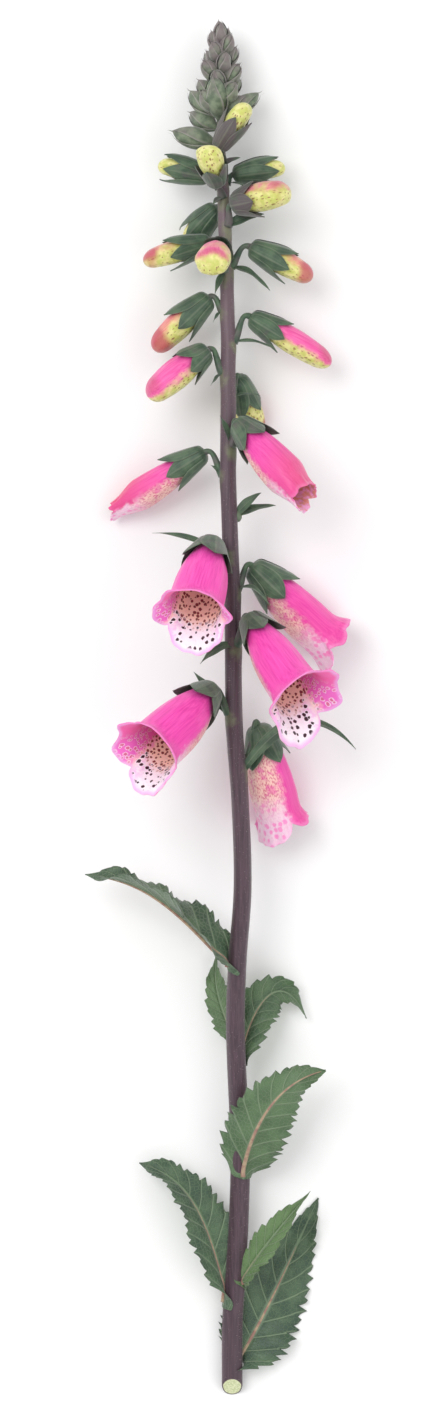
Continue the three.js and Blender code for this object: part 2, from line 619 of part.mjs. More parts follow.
// ---- Leaves ----
// A long leaf with a toothed, waved edge. It clasps the stem, so its root is cut by the stem.
function leafSolid(leaf) {
  const { centre, radius } = stemAt(leaf.at);
  const out = outward(leaf.lead[0], leaf.lead[2]);
  const root = centre.clone().addScaledVector(out, radius * 0.5);
  const off = (step) => root.clone().add(new THREE.Vector3(...step));
  const rib = new THREE.CubicBezierCurve3(root, off(leaf.lead), off(leaf.hang), off(leaf.tip));
  const face = new THREE.QuadraticBezierCurve3(...leaf.faces.map((side) => new THREE.Vector3(...side)));
  const rows = 2 * LEAF_TEETH;
  const ribDepth = (u, v) => (Math.abs(u - 0.5) < 0.1 ? RIB_DEPTH * (1 - v) : 0);
  const frame = (t) => {
    const tangent = rib.getTangent(t);
    const across = new THREE.Vector3().crossVectors(tangent, face.getPoint(t)).normalize();
    return { across, over: new THREE.Vector3().crossVectors(across, tangent) };
  };
  const place = (u, t) => {
    const { across, over } = frame(t);
    const c = 2 * u - 1;
    const row = Math.round(t * rows);
    const tooth = Math.abs(c) > 0.9 ? (row % 2 ? TOOTH : NOTCH) : 0;
    const outline = Math.sin(Math.PI * Math.min(0.985, 0.13 + 0.87 * t ** 0.78)) ** 0.9;
    const width = leaf.half * Math.max(outline, 0.08) * (1 + tooth);
    const wave = leaf.wave * leaf.half * c * c * Math.sin(9 * t + (c > 0 ? 0 : 2));
    return laidFlat(
      rib
        .getPoint(t)
        .addScaledVector(across, c * width)
        .addScaledVector(over, leaf.fold * Math.abs(c) * width + wave - ribDepth(u, t)),
    );
  };
  const front = (u, v) => BLADE + ribDepth(u, v);
  const direction = (u, v) => frame(v).over;
  const blade = thickSheet(4, rows, place, { front, back: () => 0, direction });
  return toSolid(blade).subtract(stemCutter(leaf.at));
}

// The pair of small leaves with no flower.
function spareSolid({ at, root, tips, ...shape }) {
  const stem = stemAt(at);
  const out = outward(root[0], root[2]);
  const from = stem.centre.clone().addScaledVector(out, stem.radius * 0.7);
  const knot = swelling(stem.centre.clone().addScaledVector(out, stem.radius + 0.2));
  const leaves = tips.map((tip) => {
    return smallLeafSolid(from, from.clone().add(new THREE.Vector3(...tip)), shape, turnedUp(out));
  });
  return wasm.Manifold.union([knot, ...leaves]).subtract(stemCutter(at));
}

// ---- The spike ----
const spike = new THREE.Group();
spike.position.set(-MIDDLE.x, -MIDDLE.y, 0);
const stem = toSolid(stemGeometry(CUT_Y, STEM_TOP, STEM_SIDES, 0));
spike.add(mesh("stem", toGeometry(stem), STEM_SKIN));
spike.add(mesh("bud_head", toGeometry(headSolid()), HEAD_SKIN));
FLOWERS.forEach((flower, index) => spike.add(flowerGroup(flower, index)));
spike.add(mesh("spare_leaves", toGeometry(spareSolid(SPARE_LEAVES)), CALYX_SKIN));
LEAVES.forEach((leaf, index) => {
  spike.add(mesh("leaf_" + (index + 1), toGeometry(leafSolid(leaf)), LEAF_SKIN));
});

const foxglove = new THREE.Group();
foxglove.add(spike);
export default foxglove;
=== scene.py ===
# A foxglove flower spike, picked and laid on its back: the looks of the real thing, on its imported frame.
#
# Shapes are worked out in millimetres, with the stem along +Y and places along it counted from a point
# 12 mm above the cut end, as in the part's source. A finished piece is moved and scaled to the frame.
import math
import random
from collections import namedtuple

import bmesh
import bpy
from bpy.props import FloatProperty, FloatVectorProperty, IntProperty, PointerProperty
from mathutils import Matrix, Vector


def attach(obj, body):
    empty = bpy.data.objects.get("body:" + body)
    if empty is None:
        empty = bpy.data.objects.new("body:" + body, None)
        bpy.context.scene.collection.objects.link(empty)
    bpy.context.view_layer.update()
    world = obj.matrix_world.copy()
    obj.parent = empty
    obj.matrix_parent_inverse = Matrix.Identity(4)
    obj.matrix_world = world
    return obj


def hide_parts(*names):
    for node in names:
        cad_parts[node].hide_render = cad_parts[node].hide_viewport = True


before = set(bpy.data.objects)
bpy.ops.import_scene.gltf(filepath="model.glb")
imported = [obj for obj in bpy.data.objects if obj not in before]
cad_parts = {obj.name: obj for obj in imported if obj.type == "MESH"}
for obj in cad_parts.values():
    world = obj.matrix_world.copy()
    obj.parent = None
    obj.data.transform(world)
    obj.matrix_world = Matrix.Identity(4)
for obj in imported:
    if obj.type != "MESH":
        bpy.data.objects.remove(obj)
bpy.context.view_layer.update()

bl_info = {
    "name": "Foxglove flower spike",
    "version": (1, 0, 0),
    "blender": (4, 5, 0),
    "location": "View3D > Sidebar > Foxglove",
    "description": "Adds a picked foxglove spike that lies on a surface",
    "category": "Add Mesh",
}

# ---- Sizes and places, in millimetres and degrees ----
MM = 0.001
MIDDLE = (-3.8, 268)  # the middle of the spike, seen from above
TO_FRAME = Matrix.Scale(MM, 4) @ Matrix.Translation((-MIDDLE[0], -MIDDLE[1], 0))
UP_STEM = Vector((0, 1, 0))

CUT_Y = -12
FLAT_Y = 12
STEM_TOP = 500
HEAD_TOP = 549
CUT_SLANT = 4
BUTT_R = 4.3
BUTT_Z = BUTT_R * math.cos(math.pi / 10)

# The stem's centre line and radius: place along the stem, sideways, up, radius.
STEM = [
    (CUT_Y, 0, BUTT_Z, BUTT_R),
    (FLAT_Y, 0, BUTT_Z, BUTT_R),
    (54, 2.6, 8.6, 4.15),
    (86, 3.4, 12.6, 4.05),
    (138, 1.4, 18.8, 3.9),
    (165, 2.2, 21.6, 3.8),
    (196, 4.3, 24.4, 3.7),
    (232, 3.2, 26.8, 3.6),
    (262, 0.9, 28.0, 3.5),
    (312, 0, 28.4, 3.4),
    (366, -1.7, 26.4, 3.25),
    (428, -1.8, 22.4, 2.9),
    (480, -3.5, 18.8, 2.3),
    (505, -4.8, 17.0, 1.9),
    (HEAD_TOP, -4.4, 14.2, 1.0),
]

# A corolla's radius along its length, as shares of its length and of its widest radius.
BELL = [
    (0, 0), (0.03, 0.3), (0.1, 0.46), (0.22, 0.64), (0.36, 0.82),
    (0.52, 0.93), (0.68, 0.98), (0.84, 1), (1, 1.02),
]
BUD = [(0, 0), (0.05, 0.4), (0.2, 0.66), (0.45, 0.92), (0.65, 1), (0.82, 0.95), (0.94, 0.7), (1, 0)]
# How far the lobes of an open lip reach out and how far they spread, and both between the lobes.
LIP = {"notch": -1.2, "lower": 9.5, "lateral": 3, "upper": 1.5}
FLARE = {"notch": 1.3, "lower": 1.7, "lateral": 3.1, "upper": 2}
# The middle of each lobe and half its spread, in degrees from the belly.
LOBES = {"lower": (0, 60), "lateral": (93, 40), "upper": (150, 36)}
LOWER_LOBE_END = 0.55  # the power that rounds the end of the lower lobe
LIP_FROM = 0.7  # the lobes start to reach out at this share of a bell's length
FLARE_FROM = 0.8  # and to spread at this one
SHUT_LIP = 0.35  # how much of its lobes a shut bell has, and how far they turn in
PINCHED = {"round": 0.3, "flat": 0.5}  # how far the mouth of a shut bell is drawn in and pressed flat
BELLY = 0.1  # how far a bell swells out below its middle
RIBS = {"count": 10, "bell": 0.014, "bud": 0.012}  # faint ribs along a corolla, and their height
RUFFLE_FROM = 0.84
RUFFLES = ((9, 0.3), (16, 0.2))  # waves round the rim, and their height
ROLL_FROM = 0.9  # from here on the rim of an open lip rolls back
ROLL_R = 0.8
ROLL_TURN = 1.9  # in radians
LOWER_UNROLLED = 0.7  # how much less the lower lobe rolls back
BELL_SAG = 1.5
BUD_SAG = 1.2
BUD_CAP = 0.8  # from here on the end of a bud is round
BUD_FLAT = {"from": 0.3, "to": 0.9, "wider": 0.1, "lower": 0.2}  # how a bud flattens towards its tip
BUD_FOLD = {"angle": 75, "spread": 0.3, "deep": 0.1, "from": 0.45, "to": 0.8}  # between a bud's lips
BUD_OPEN = 0.2  # a corolla that is less open than this is a bud
YOUNG_LONG = 26  # and one that is no longer than this is a young bud
STAMENS_SHOW = 0.5  # a corolla must be more open than this to show its stamens
# The hairs of a lip: how many, how far from the belly they stand, and where along the bell.
LIP_HAIRS = 60
LIP_HAIR_ANGLE = 42
LIP_HAIR_AT = (0.72, 0.97)
LIP_HAIR_R = 0.05
STEM_HAIR_R = 0.045
STEM_HAIR_SEED = 7
# The sepals: how high each lies over the lowest one, and its length as a share of the calyx.
SEPALS = ((0.45, 1), (0.05, 0.97), (0.4, 1.03), (0, 1), (0.22, 0.95))
SEPAL_HALF = 47  # half the angle that a sepal covers where it is broadest
CALYX_BASE = 1.7  # how far the calyx reaches behind the corolla's foot
STALK_R = 1.05
# A stalk: how deep it starts in the stem, and how far it heads out of the stem, up, and into the calyx.
STALK = {"start": 0.7, "out": 0.3, "up": 0.55, "in": 0.42, "highest": 12}
STALK_ENDS = (1.1, 0.35)  # how much thicker it is at the stem and under the calyx
# The ovary's foot and height. The side that the style and each stamen end on and their reach along the
# bell, and how high they end, as a share of its radius.
OVARY = (2.3, 7)
STYLE = (0.2, 0.72)
STAMENS = ((2.8, 0.5), (-2.8, 0.5), (1.9, 0.64), (-1.9, 0.64))
STYLE_HIGH = 0.42
STAMEN_HIGH = 0.38
ANTHER_R = 0.85
SMALL_TURN = 0.9  # how far a small leaf's upper face is turned up from the surface
SMALL_ARCH = Vector((0, 1, 0.4))  # the way a small leaf arches

# The flowers from the top of the spike down:
#   at, foot, face, droop: where the stalk leaves the stem, the corolla's foot from the stem's axis there,
#     and the way the corolla points, round the stem and towards the cut end,
#   long, wide, open, sheath: length and radius of the corolla, how far it is open, length of the calyx,
#   leaf, arch, half, leaf_side: the small leaf's tip from its root, how far it arches, half its width and
#     the side it grows from, where that isn't the stalk's,
#   blush, pinkness: how far the red has spread over a bud, and whether it is coral (0) or hot pink (1),
#   tint: how purple the calyx is.
Flower = namedtuple(
    "Flower",
    "at foot face droop long wide open sheath leaf arch half leaf_side blush pinkness tint name",
)
FLOWERS = [
    (494, (-1, 7.5, 5.2), 28, -55, 21.5, 4.7, 0, 16, (8, 3, 3), 1, 1.4, None, 0, 0, 0.8),
    (481, (-2.6, 5.6, 6.4), 108, -44, 19.5, 5.3, 0, 12, (-4, -4, 5), 1, 1.4, None, 0.1, 0, 0.5),
    (485, (-6.4, 5, -1), 184, -16, 21, 4.6, 0, 18.8, (-11, 8, -8), 1, 1.8, None, 0.15, 0, 0.25),
    (487, (5.2, 3.7, -2.2), -8, -12, 21, 4.5, 0, 18.6, (8, -2, 5), 1, 1.5, None, 0.1, 0, 0.15),
    (469, (4, 8.9, 4.4), 24, -12, 25, 6.7, 0, 12, (15, 5, -2), 2, 2.6, None, 0.46, 0.4, 0.72),
    (471, (-3.8, 5.5, -5), 216, 38, 19, 4.8, 0, 17, (-5, -7, -3), 1, 1.3, None, 0.1, 0, 0.1),
    (455, (-7.4, 7, 0), 174, 14, 28, 5.2, 0, 18, (-5, -6, -3), 1, 1.3, None, 0.45, 0.2, 0.2),
    (450, (-3, 9, 6), 100, 20, 22, 7, 0, 6.5, (-4, -10, 4), 2, 1.6, None, 0.44, 0.6, 0.3),
    (452, (10.6, 8, 0), -4, 24, 28, 5.6, 0, 18.5, (16, -10, 3), 4, 2.4, None, 0.5, 0.1, 0.15),
    (434, (-8, 5, -1.5), 190, 40, 31, 6.2, 0, 17.5, (-4, -5, 1), 1, 1.2, None, 0.62, 0.05, 0.1),
    (421, (10, 10, -1), -10, 28, 38, 6, 0.1, 16, (17, -3, 2), 3, 1.4, None, 0.95, 0.7, 0.2),
    (408, (-9, 9, 1), 168, 36, 31, 7, 0.1, 12, (-5, -5, -2), 1, 1.3, None, 0.95, 0.75, 0.35),
    (398, (4.5, 8, -7.3), -69, 50, 27, 6, 0, 15, (12, 1, -2), 2, 1.6, None, 0.5, 0.1, 0.1),
    (378, (4.4, 9, 4.5), 31, 42, 42.5, 8.8, 0.42, 14.5, (-5, 12, 5), 2, 1.6, None, 1, 0.9, 0.3),
    (366, (-10.4, 9, -4.6), 205, 27.5, 45, 6.9, 0.25, 17, (-5, 4, 1), 1, 1.2, None, 1, 0.8, 0.15),
    (333, (-7.8, 4.5, 8), 108, 48, 38.5, 11.2, 1, 14, (-30, 9, -2), 5, 1.5, 155, 1, 1, 0.35),
    (319, (9, 9, -4), -21, 40, 44.5, 9.6, 0.9, 17, (13, -7, 6), 7, 1.7, 12, 1, 0.9, 0.1),
    (296, (6.8, 10.5, 8), 49, 43.5, 47.5, 10.2, 1.2, 13.5, (-13, -8, 3), 4, 2.4, 100, 1, 1, 0.3),
    (268, (-9, 9, 5), 134, 32, 45.5, 11.4, 1, 14, (-14, 17, -7), 1, 2.4, 185, 1, 1, 0.2),
    (245, (8.6, 17, -6), -50, 67, 41, 9.8, 0.8, 15, (46, 8, 2), 30, 3.2, 12, 1, 0.9, 0.1),
]
FLOWERS = [Flower(*row, f"flower_{i:02d}") for i, row in enumerate(FLOWERS, 1)]
# The two small leaves of a flower that never grew: where they are, their root's side, tips and half width.
SPARE_AT = 349
SPARE_ROOT = (3.4, 0, -1)
SPARE_TIPS = [(11, 9.5, 2), (17, 4.5, -3)]
SPARE_HALF = 2.3
SPARE_ARCH = 2
KNOT = (2, 2.6, 2)

# The larger buds under the head: where they leave the axis, the side they face, rise, length, radius.
HEAD_PODS = [
    (512, 108, 66, 20, 4.8),
    (514, 196, 41, 17, 4.0),
    (514, -14, 33, 19, 3.6),
    (509, 206, 29, 15.5, 3.8),
    (503, 174, 14, 20, 4.3),
]
# The small buds of the head, from the lowest to the highest.
SCALES = 21
SCALE_RISE = (40, 60)
TIP_RISE = 24  # how much steeper the last ones stand
SCALE_LONG = (13.5, 9.5)
SCALE_WIDE = (3.5, 2.4)
GOLDEN_ANGLE = 137.5
POD = [(0, 0), (0.1, 0.26), (0.38, 0.9), (0.65, 0.95), (0.9, 0.55), (1, 0)]
POD_SLIM = 0.94  # the share of a larger bud's radius that its sepals leave to it
POD_SEPALS = (90, 210, 330)

# The leaves of the lower stem: where one clasps the stem, two points that its rib heads for and its tip,
# from its root, half its width, the sides its upper face looks to at the root, the middle and the tip, how
# steeply its halves rise from the rib, how far it waves, and how yellow it is.
Leaf = namedtuple("Leaf", "at lead hang tip half faces fold wave fresh")
LEVEL = (0, 0, 1)
LEAVES = [
    Leaf(
        162, (-22, 24, 9), (-34, 37, 12), (-61, 39, -6), 12,
        ((0.45, 0.45, 0.77), (0.95, 0.95, -0.5), (0.3, 0.6, 0.75)), 0.4, 0.1, 0.1,
    ),
    Leaf(
        122, (4, 24, -7), (17, 44, -8), (28, 19, -11), 8.8,
        ((-0.2, -0.1, 1), (-0.4, -0.3, 0.9), (0.3, 0.4, 0.8)), 0.14, 0.24, 0.2,
    ),
    Leaf(
        134, (-4, 9, -6), (-9, 20, -12), (-7, 33, -15), 6,
        ((-0.5, 0.1, 0.8), (-0.4, 0.1, 0.9), (-0.3, 0.1, 1)), 0.1, 0.14, 0.45,
    ),
    Leaf(
        75, (3, 20, 11), (13, 42, 20), (34.6, 46, 15), 13,
        ((0.05, 0.2, -1), (0.25, 0.3, -0.9), (0.5, 0.4, -0.7)), 0.2, 0.16, 0.3,
    ),
    Leaf(
        21, (-9, 41, 4), (-17, 55, 11), (-37, 60, 1), 10.5,
        ((0.5, 0.1, 0.8), (0.4, 0.3, 0.8), (0.4, 0.4, 0.8)), 0.35, 0.14, 0.05,
    ),
    Leaf(
        30, (6, 12, 7), (18, 26, 9), (30, 40, 6), 6.5,
        ((-0.4, 0.3, 0.9), (-0.5, 0.4, 0.8), (-0.3, 0.3, 0.9)), 0.28, 0.2, 0.7,
    ),
    Leaf(-2, (8, 11, -4.6), (21, 39, -6), (34, 68, -2.6), 15, (LEVEL, LEVEL, LEVEL), 0.22, 0.11, 0.0),
]
LEAF_LOWEST = 0.6  # a blade with its wall lies clear of the surface
CLASPED = 0.13  # the share of a leaf's length over which it wraps round the stem
SIDE_VEINS = 9  # pairs
VEIN_LEAN = 1.5  # how many veins further up one ends than it starts
TOOTHED_LONG = 70  # the length of leaf that the panel's number of teeth is for

# The grids that pieces are made of: faces round or across one, and along it (along a tooth for a leaf).
GRIDS = {
    "bell": (112, 72),
    "bud": (48, 40),
    "sepal": (14, 24),
    "small_leaf": (10, 26),
    "stem": (40, 250),
    "pod": (20, 14),
    "pod_sepal": (8, 12),
    "leaf": (40, 8),
}

# The stage, in metres. The camera looks straight down on the spike, and its picture is this tall.
CAMERA_HEIGHT = 2.2
PICTURE_TALL = 0.594
SENSOR = 36
FLOOR_HALF = 4
SKY_LIGHT = 0.85
# Lamps: name, place, power and size.
LAMPS = (
    ("key", (-0.9, 0.7, 1.8), 17, 1.2),
    ("fill", (1.2, -0.6, 1.4), 6, 1.6),
)


# ---- Numbers ----
def clamp(x, low=0.0, high=1.0):
    return min(max(x, low), high)


def lerp(a, b, share):
    return a + (b - a) * share


def smoothstep(x, low=0.0, high=1.0):
    t = clamp((x - low) / (high - low))
    return t * t * (3 - 2 * t)


def bump(x):
    """A round hump from -1 to 1."""
    return math.cos(math.pi / 2 * x) ** 2 if abs(x) < 1 else 0.0


def fade(x):
    """1 at 0, fading out softly to both sides."""
    return math.exp(-x * x)


def eased(v):
    """0 to 1 with small steps at both ends, which keeps round ends round."""
    return 0.5 - 0.5 * math.cos(math.pi * v)


def along(rows, place):
    """A smooth line through rows of (place, value, value, ...), read at one place."""
    last = len(rows) - 1

    def slope(i, k):
        a, b = rows[max(i - 1, 0)], rows[min(i + 1, last)]
        return (b[k] - a[k]) / (b[0] - a[0])

    i = 0
    while i < last - 1 and place > rows[i + 1][0]:
        i += 1
    start, end = rows[i], rows[i + 1]
    span = end[0] - start[0]
    t = clamp((place - start[0]) / span)
    return [
        (2 * t**3 - 3 * t**2 + 1) * start[k]
        + (t**3 - 2 * t**2 + t) * span * slope(i, k)
        + (3 * t**2 - 2 * t**3) * end[k]
        + (t**3 - t**2) * span * slope(i + 1, k)
        for k in range(1, len(start))
    ]


def bezier(*points):
    """The curve through the first and last of 3 or 4 points, as a function of 0 to 1."""

    def at(t):
        left = [Vector(p) for p in points]
        while len(left) > 1:
            left = [a.lerp(b, t) for a, b in zip(left, left[1:])]
        return left[0]

    return at


def tangent(path, t, step=0.01):
    return (path(clamp(t + step)) - path(clamp(t - step))).normalized()


def side_of(angle):
    """The way out of the stem at an angle from its right-hand side."""
    turn = math.radians(angle)
    return Vector((math.cos(turn), 0, math.sin(turn)))


def ring(angle, radius, z):
    """A point round a flower's axis, with the angle counted from its belly."""
    return Vector((math.sin(angle) * radius, -math.cos(angle) * radius, z))


def stem_at(y):
    x, z, radius = STEM[0][1:] if y < FLAT_Y else along(STEM, y)
    return Vector((x, y, z)), radius


def away(place):
    """The way out of the stem towards a place beside it."""
    return Vector((place[0], 0, place[2])).normalized()


def laid_flat(point, lowest=0.0):
    """A point, or the one above it on the surface where it would lie below."""
    return Vector((point.x, point.y, max(point.z, lowest)))


# ---- Meshes ----
# What the finishes are drawn by: numbers from 0 to 1 (across: -1 to 1), and places in millimetres.
MARKS = ("across", "along", "under", "tint", "blush", "pinkness")
PLACES = ("place", "flat")


def new_mesh():
    bm = bmesh.new()
    for mark in MARKS:
        bm.verts.layers.float.new(mark)
    for mark in PLACES:
        bm.verts.layers.float_vector.new(mark)
    return bm


def fresh_faces(bm, skin):
    """The faces that were added since the last call, given a finish."""
    faces = [face for face in bm.faces if not face.tag]
    for face in faces:
        face.tag = True
        face.material_index = skin
    return faces


def sheet(bm, columns, rows, place, marks=None, wall=0.0, wrapped=False, skins=(0, 0)):
    """Adds a grid whose vertices are moved to place(u, v) and carry marks(u, v), with a wall behind it."""
    made = bmesh.ops.create_grid(bm, x_segments=columns, y_segments=rows, size=0.5)["verts"]
    floats = bm.verts.layers.float
    vectors = bm.verts.layers.float_vector
    for vert in made:
        u, v = clamp(vert.co.x + 0.5), clamp(vert.co.y + 0.5)
        vert.co = place(u, v)
        for mark, value in (marks(u, v) if marks else {}).items():
            layer = vectors[mark] if mark in PLACES else floats[mark]
            vert[layer] = value
    if wrapped:
        bmesh.ops.remove_doubles(bm, verts=made, dist=1e-3)
    faces = fresh_faces(bm, skins[0])
    if wall:
        for part in bmesh.ops.solidify(bm, geom=faces, thickness=wall)["geom"]:
            if isinstance(part, bmesh.types.BMFace):
                part.material_index = skins[1]


def tube(bm, path, radius, steps, sides, marks=None, skin=0):
    """Adds a closed tube along path(t), as thick as radius(t) says, with round marks(u, t)."""
    frames = []
    a = None
    for i in range(steps + 1):
        way = tangent(path, i / steps)
        a = way.orthogonal() if a is None else a - way * a.dot(way)
        a.normalize()
        frames.append((path(i / steps), a.copy(), way.cross(a), i / steps))
    rows = steps + 2

    def place(u, v):
        row = round(v * rows)
        centre, a, b, t = frames[int(clamp(row - 1, 0, steps))]
        size = 0 if row in (0, rows) else radius(t)
        turn = 2 * math.pi * u
        return laid_flat(centre + (a * math.cos(turn) + b * math.sin(turn)) * size)

    def mark(u, v):
        t = frames[int(clamp(round(v * rows) - 1, 0, steps))][3]
        return marks(u, t)

    sheet(bm, sides, rows, place, mark if marks else None, wrapped=True, skins=(skin, skin))


def ball(bm, centre, size, skin=0, marks=None):
    """Adds a small ellipsoid."""
    matrix = Matrix.Translation(centre) @ Matrix.Diagonal((*size, 1))
    made = bmesh.ops.create_icosphere(bm, subdivisions=2, radius=1, matrix=matrix)["verts"]
    for mark, value in (marks or {}).items():
        for vert in made:
            vert[bm.verts.layers.float[mark]] = value
    fresh_faces(bm, skin)


def hair(bm, root, way, length, thick, skin=0):
    """Adds a hair: a three-sided needle."""
    turn = way.to_track_quat("Z", "Y").to_matrix().to_4x4()
    matrix = Matrix.Translation(root + way * (length / 2)) @ turn
    bmesh.ops.create_cone(
        bm, cap_ends=True, segments=3, radius1=thick, radius2=thick * 0.15, depth=length, matrix=matrix
    )
    fresh_faces(bm, skin)


def finished(bm, name, finishes, slot, *nodes):
    """Makes an object of a mesh, in the frame's place, and lets it stand for CAD nodes."""
    bmesh.ops.transform(bm, matrix=TO_FRAME, verts=bm.verts[:])
    mesh = bpy.data.meshes.new(name)
    bm.to_mesh(mesh)
    bm.free()
    mesh.shade_smooth()
    for finish in finishes:
        mesh.materials.append(bpy.data.materials[finish])
    piece = bpy.data.objects.new(name, mesh)
    bpy.context.scene.collection.objects.link(piece)
    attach(piece, "root")
    if nodes:
        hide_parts(*nodes)


# ---- Finishes ----
# Spots: the width and length of the cells that they lie in, their smallest and largest radius as shares
# of a cell, the share of the cells that have one, how soft they are, and the mark that they are drawn on.
BELLY_RINGS = {"wide": 2.4, "long": 3.0, "small": 0.25, "large": 0.42, "kept": 0.75, "soft": 0.1}
SIDE_SPOTS = {"wide": 1.7, "long": 2.0, "small": 0.14, "large": 0.32, "kept": 0.9}
THROAT_SPECKS = {"wide": 1.6, "long": 2.1, "small": 0.18, "large": 0.4, "kept": 0.9}
LIP_SPOTS = {"wide": 2.1, "long": 2.5, "small": 0.14, "large": 0.36, "kept": 0.66}
BUD_DASHES = {"wide": 1.3, "long": 2.6, "small": 0.08, "large": 0.3, "kept": 0.7}
BUD_DOTS = {**BUD_DASHES, "long": 1.8, "on": "place"}
WOBBLE = 0.9
CELL_RANDOMNESS = 0.85
SEPAL_VEINS = 17.0


class Finish:
    """A material in the panel's colours, and short ways to wire its nodes.

    A colour is a node's output, or the name of one of the panel's colours. A share runs from 0 to 1.
    """

    def __init__(self, name, colours, roughness, sheen=0.0):
        material = bpy.data.materials.new(name)
        material.use_nodes = True
        self.colours = colours
        self.tree = material.node_tree
        self.skin = self.tree.nodes["Principled BSDF"]
        self.skin.inputs["Roughness"].default_value = roughness
        self.skin.inputs["Sheen Weight"].default_value = sheen
        self.skin.inputs["Sheen Roughness"].default_value = 0.5

    def node(self, kind, **settings):
        made = self.tree.nodes.new(kind)
        for key, value in settings.items():
            setattr(made, key, value)
        return made

    def feed(self, socket, value):
        if isinstance(value, bpy.types.NodeSocket):
            self.tree.links.new(value, socket)
        elif isinstance(value, str):
            socket.default_value = (*getattr(self.colours, value), 1)
        else:
            socket.default_value = value

    def mark(self, name):
        node = self.node("ShaderNodeAttribute", attribute_name=name)
        return node.outputs["Vector" if name in PLACES else "Fac"]

    def math(self, operation, a, b=0.0, c=0.0):
        node = self.node("ShaderNodeMath", operation=operation)
        for socket, value in zip(node.inputs, (a, b, c)):
            self.feed(socket, value)
        return node.outputs[0]

    def times(self, *values):
        result = values[0]
        for value in values[1:]:
            result = self.math("MULTIPLY", result, value)
        return result

    def rise(self, value, low, high):
        """0 below low and 1 above high, or the other way round where low is the larger."""
        node = self.node("ShaderNodeMapRange", interpolation_type="SMOOTHSTEP")
        flip = low > high
        self.feed(node.inputs["Value"], value)
        node.inputs["From Min"].default_value = min(low, high)
        node.inputs["From Max"].default_value = max(low, high)
        node.inputs["To Min"].default_value = 1.0 if flip else 0.0
        node.inputs["To Max"].default_value = 0.0 if flip else 1.0
        return node.outputs["Result"]

    def ragged(self, value, noise, amount):
        """A value that a noise pushes up and down, so that what ends where it falls ends unevenly."""
        return self.math("ADD", value, self.math("MULTIPLY_ADD", noise, amount, -amount / 2))

    def coat(self, under, colour, *shares):
        """A colour laid over another, as thick as all its shares together say."""
        node = self.node("ShaderNodeMix", data_type="RGBA")
        self.feed(node.inputs[0], self.times(*shares))
        self.feed(node.inputs[6], under)
        self.feed(node.inputs[7], colour)
        return node.outputs[2]

    def mottled(self, first, second, noise, low=0.35, high=0.65):
        return self.coat(first, second, self.rise(noise, low, high))

    def where(self, scale=(1, 1, 1)):
        """Object coordinates in millimetres, stretched by a scale."""
        return self.stretched(self.node("ShaderNodeTexCoord").outputs["Object"], [s / MM for s in scale])

    def stretched(self, place, scale):
        mapping = self.node("ShaderNodeMapping")
        mapping.inputs["Scale"].default_value = scale
        self.feed(mapping.inputs["Vector"], place)
        return mapping.outputs["Vector"]

    def noise_node(self, scale, place, detail=2.0):
        node = self.node("ShaderNodeTexNoise")
        self.feed(node.inputs["Vector"], place)
        node.inputs["Scale"].default_value = scale
        node.inputs["Detail"].default_value = detail
        return node

    def noise(self, scale, place=None, detail=3.0):
        return self.noise_node(scale, place or self.where(), detail).outputs["Fac"]

    def wobbled(self, place):
        """A place that is pushed about by a noise, so that what is drawn on it isn't even."""
        push = self.node("ShaderNodeVectorMath", operation="MULTIPLY_ADD")
        self.feed(push.inputs[0], self.noise_node(WOBBLE, place).outputs["Color"])
        push.inputs[1].default_value = (WOBBLE, WOBBLE, 0)
        self.feed(push.inputs[2], place)
        return push.outputs[0]

    def cells(self, place, feature="F1"):
        node = self.node("ShaderNodeTexVoronoi", feature=feature, voronoi_dimensions="2D")
        self.feed(node.inputs["Vector"], place)
        node.inputs["Scale"].default_value = 1
        node.inputs["Randomness"].default_value = CELL_RANDOMNESS
        return node

    def spots(self, wide, long, small, large, kept, soft=0.05, halo=0.0, on="flat"):
        """1 inside round spots of many sizes, which a halo makes larger."""
        place = self.wobbled(self.mark(on))
        cells = self.cells(self.stretched(place, (1 / wide, 1 / long, 1)))
        draws = self.node("ShaderNodeSeparateColor")
        self.feed(draws.inputs[0], cells.outputs["Color"])
        radius = self.math("MULTIPLY_ADD", draws.outputs[0], large - small, small + halo)
        inside = self.rise(self.math("SUBTRACT", radius, cells.outputs["Distance"]), -soft, soft)
        return self.times(inside, self.math("LESS_THAN", draws.outputs[1], kept))

    def spotted(self, skin, area, spots, halo, ring, spot):
        """Lays spots on an area of a skin, each in a ring: a ring and a spot are a colour and a share."""
        for size, (colour, share) in ((halo, ring), (0, spot)):
            skin = self.coat(skin, colour, self.spots(**spots, halo=size), area, share)
        return skin

    def bump(self, height, distance, strength):
        node = self.node("ShaderNodeBump")
        self.feed(node.inputs["Height"], height)
        node.inputs["Distance"].default_value = distance * MM
        node.inputs["Strength"].default_value = strength
        self.feed(self.skin.inputs["Normal"], node.outputs["Normal"])

    def colour(self, value):
        self.feed(self.skin.inputs["Base Color"], value)

    def glow(self, weight):
        """Lets some light through a thin petal or bud."""
        self.skin.inputs["Subsurface Weight"].default_value = weight
        self.skin.inputs["Subsurface Radius"].default_value = (0.002, 0.0009, 0.0011)


def petal_reds(finish):
    """Pink to coral, as the pinkness says, with fine lengthwise veins, and the veins themselves."""
    veins = finish.noise(0.9, finish.stretched(finish.mark("place"), (1.6, 1.6, 0.07)))
    pink = finish.mottled("petal", "petal_magenta_and_shade", veins, 0.25, 0.85)
    coral = finish.mottled("coral", "coral_shade", veins, 0.25, 0.8)
    return finish.coat(coral, pink, finish.mark("pinkness")), veins


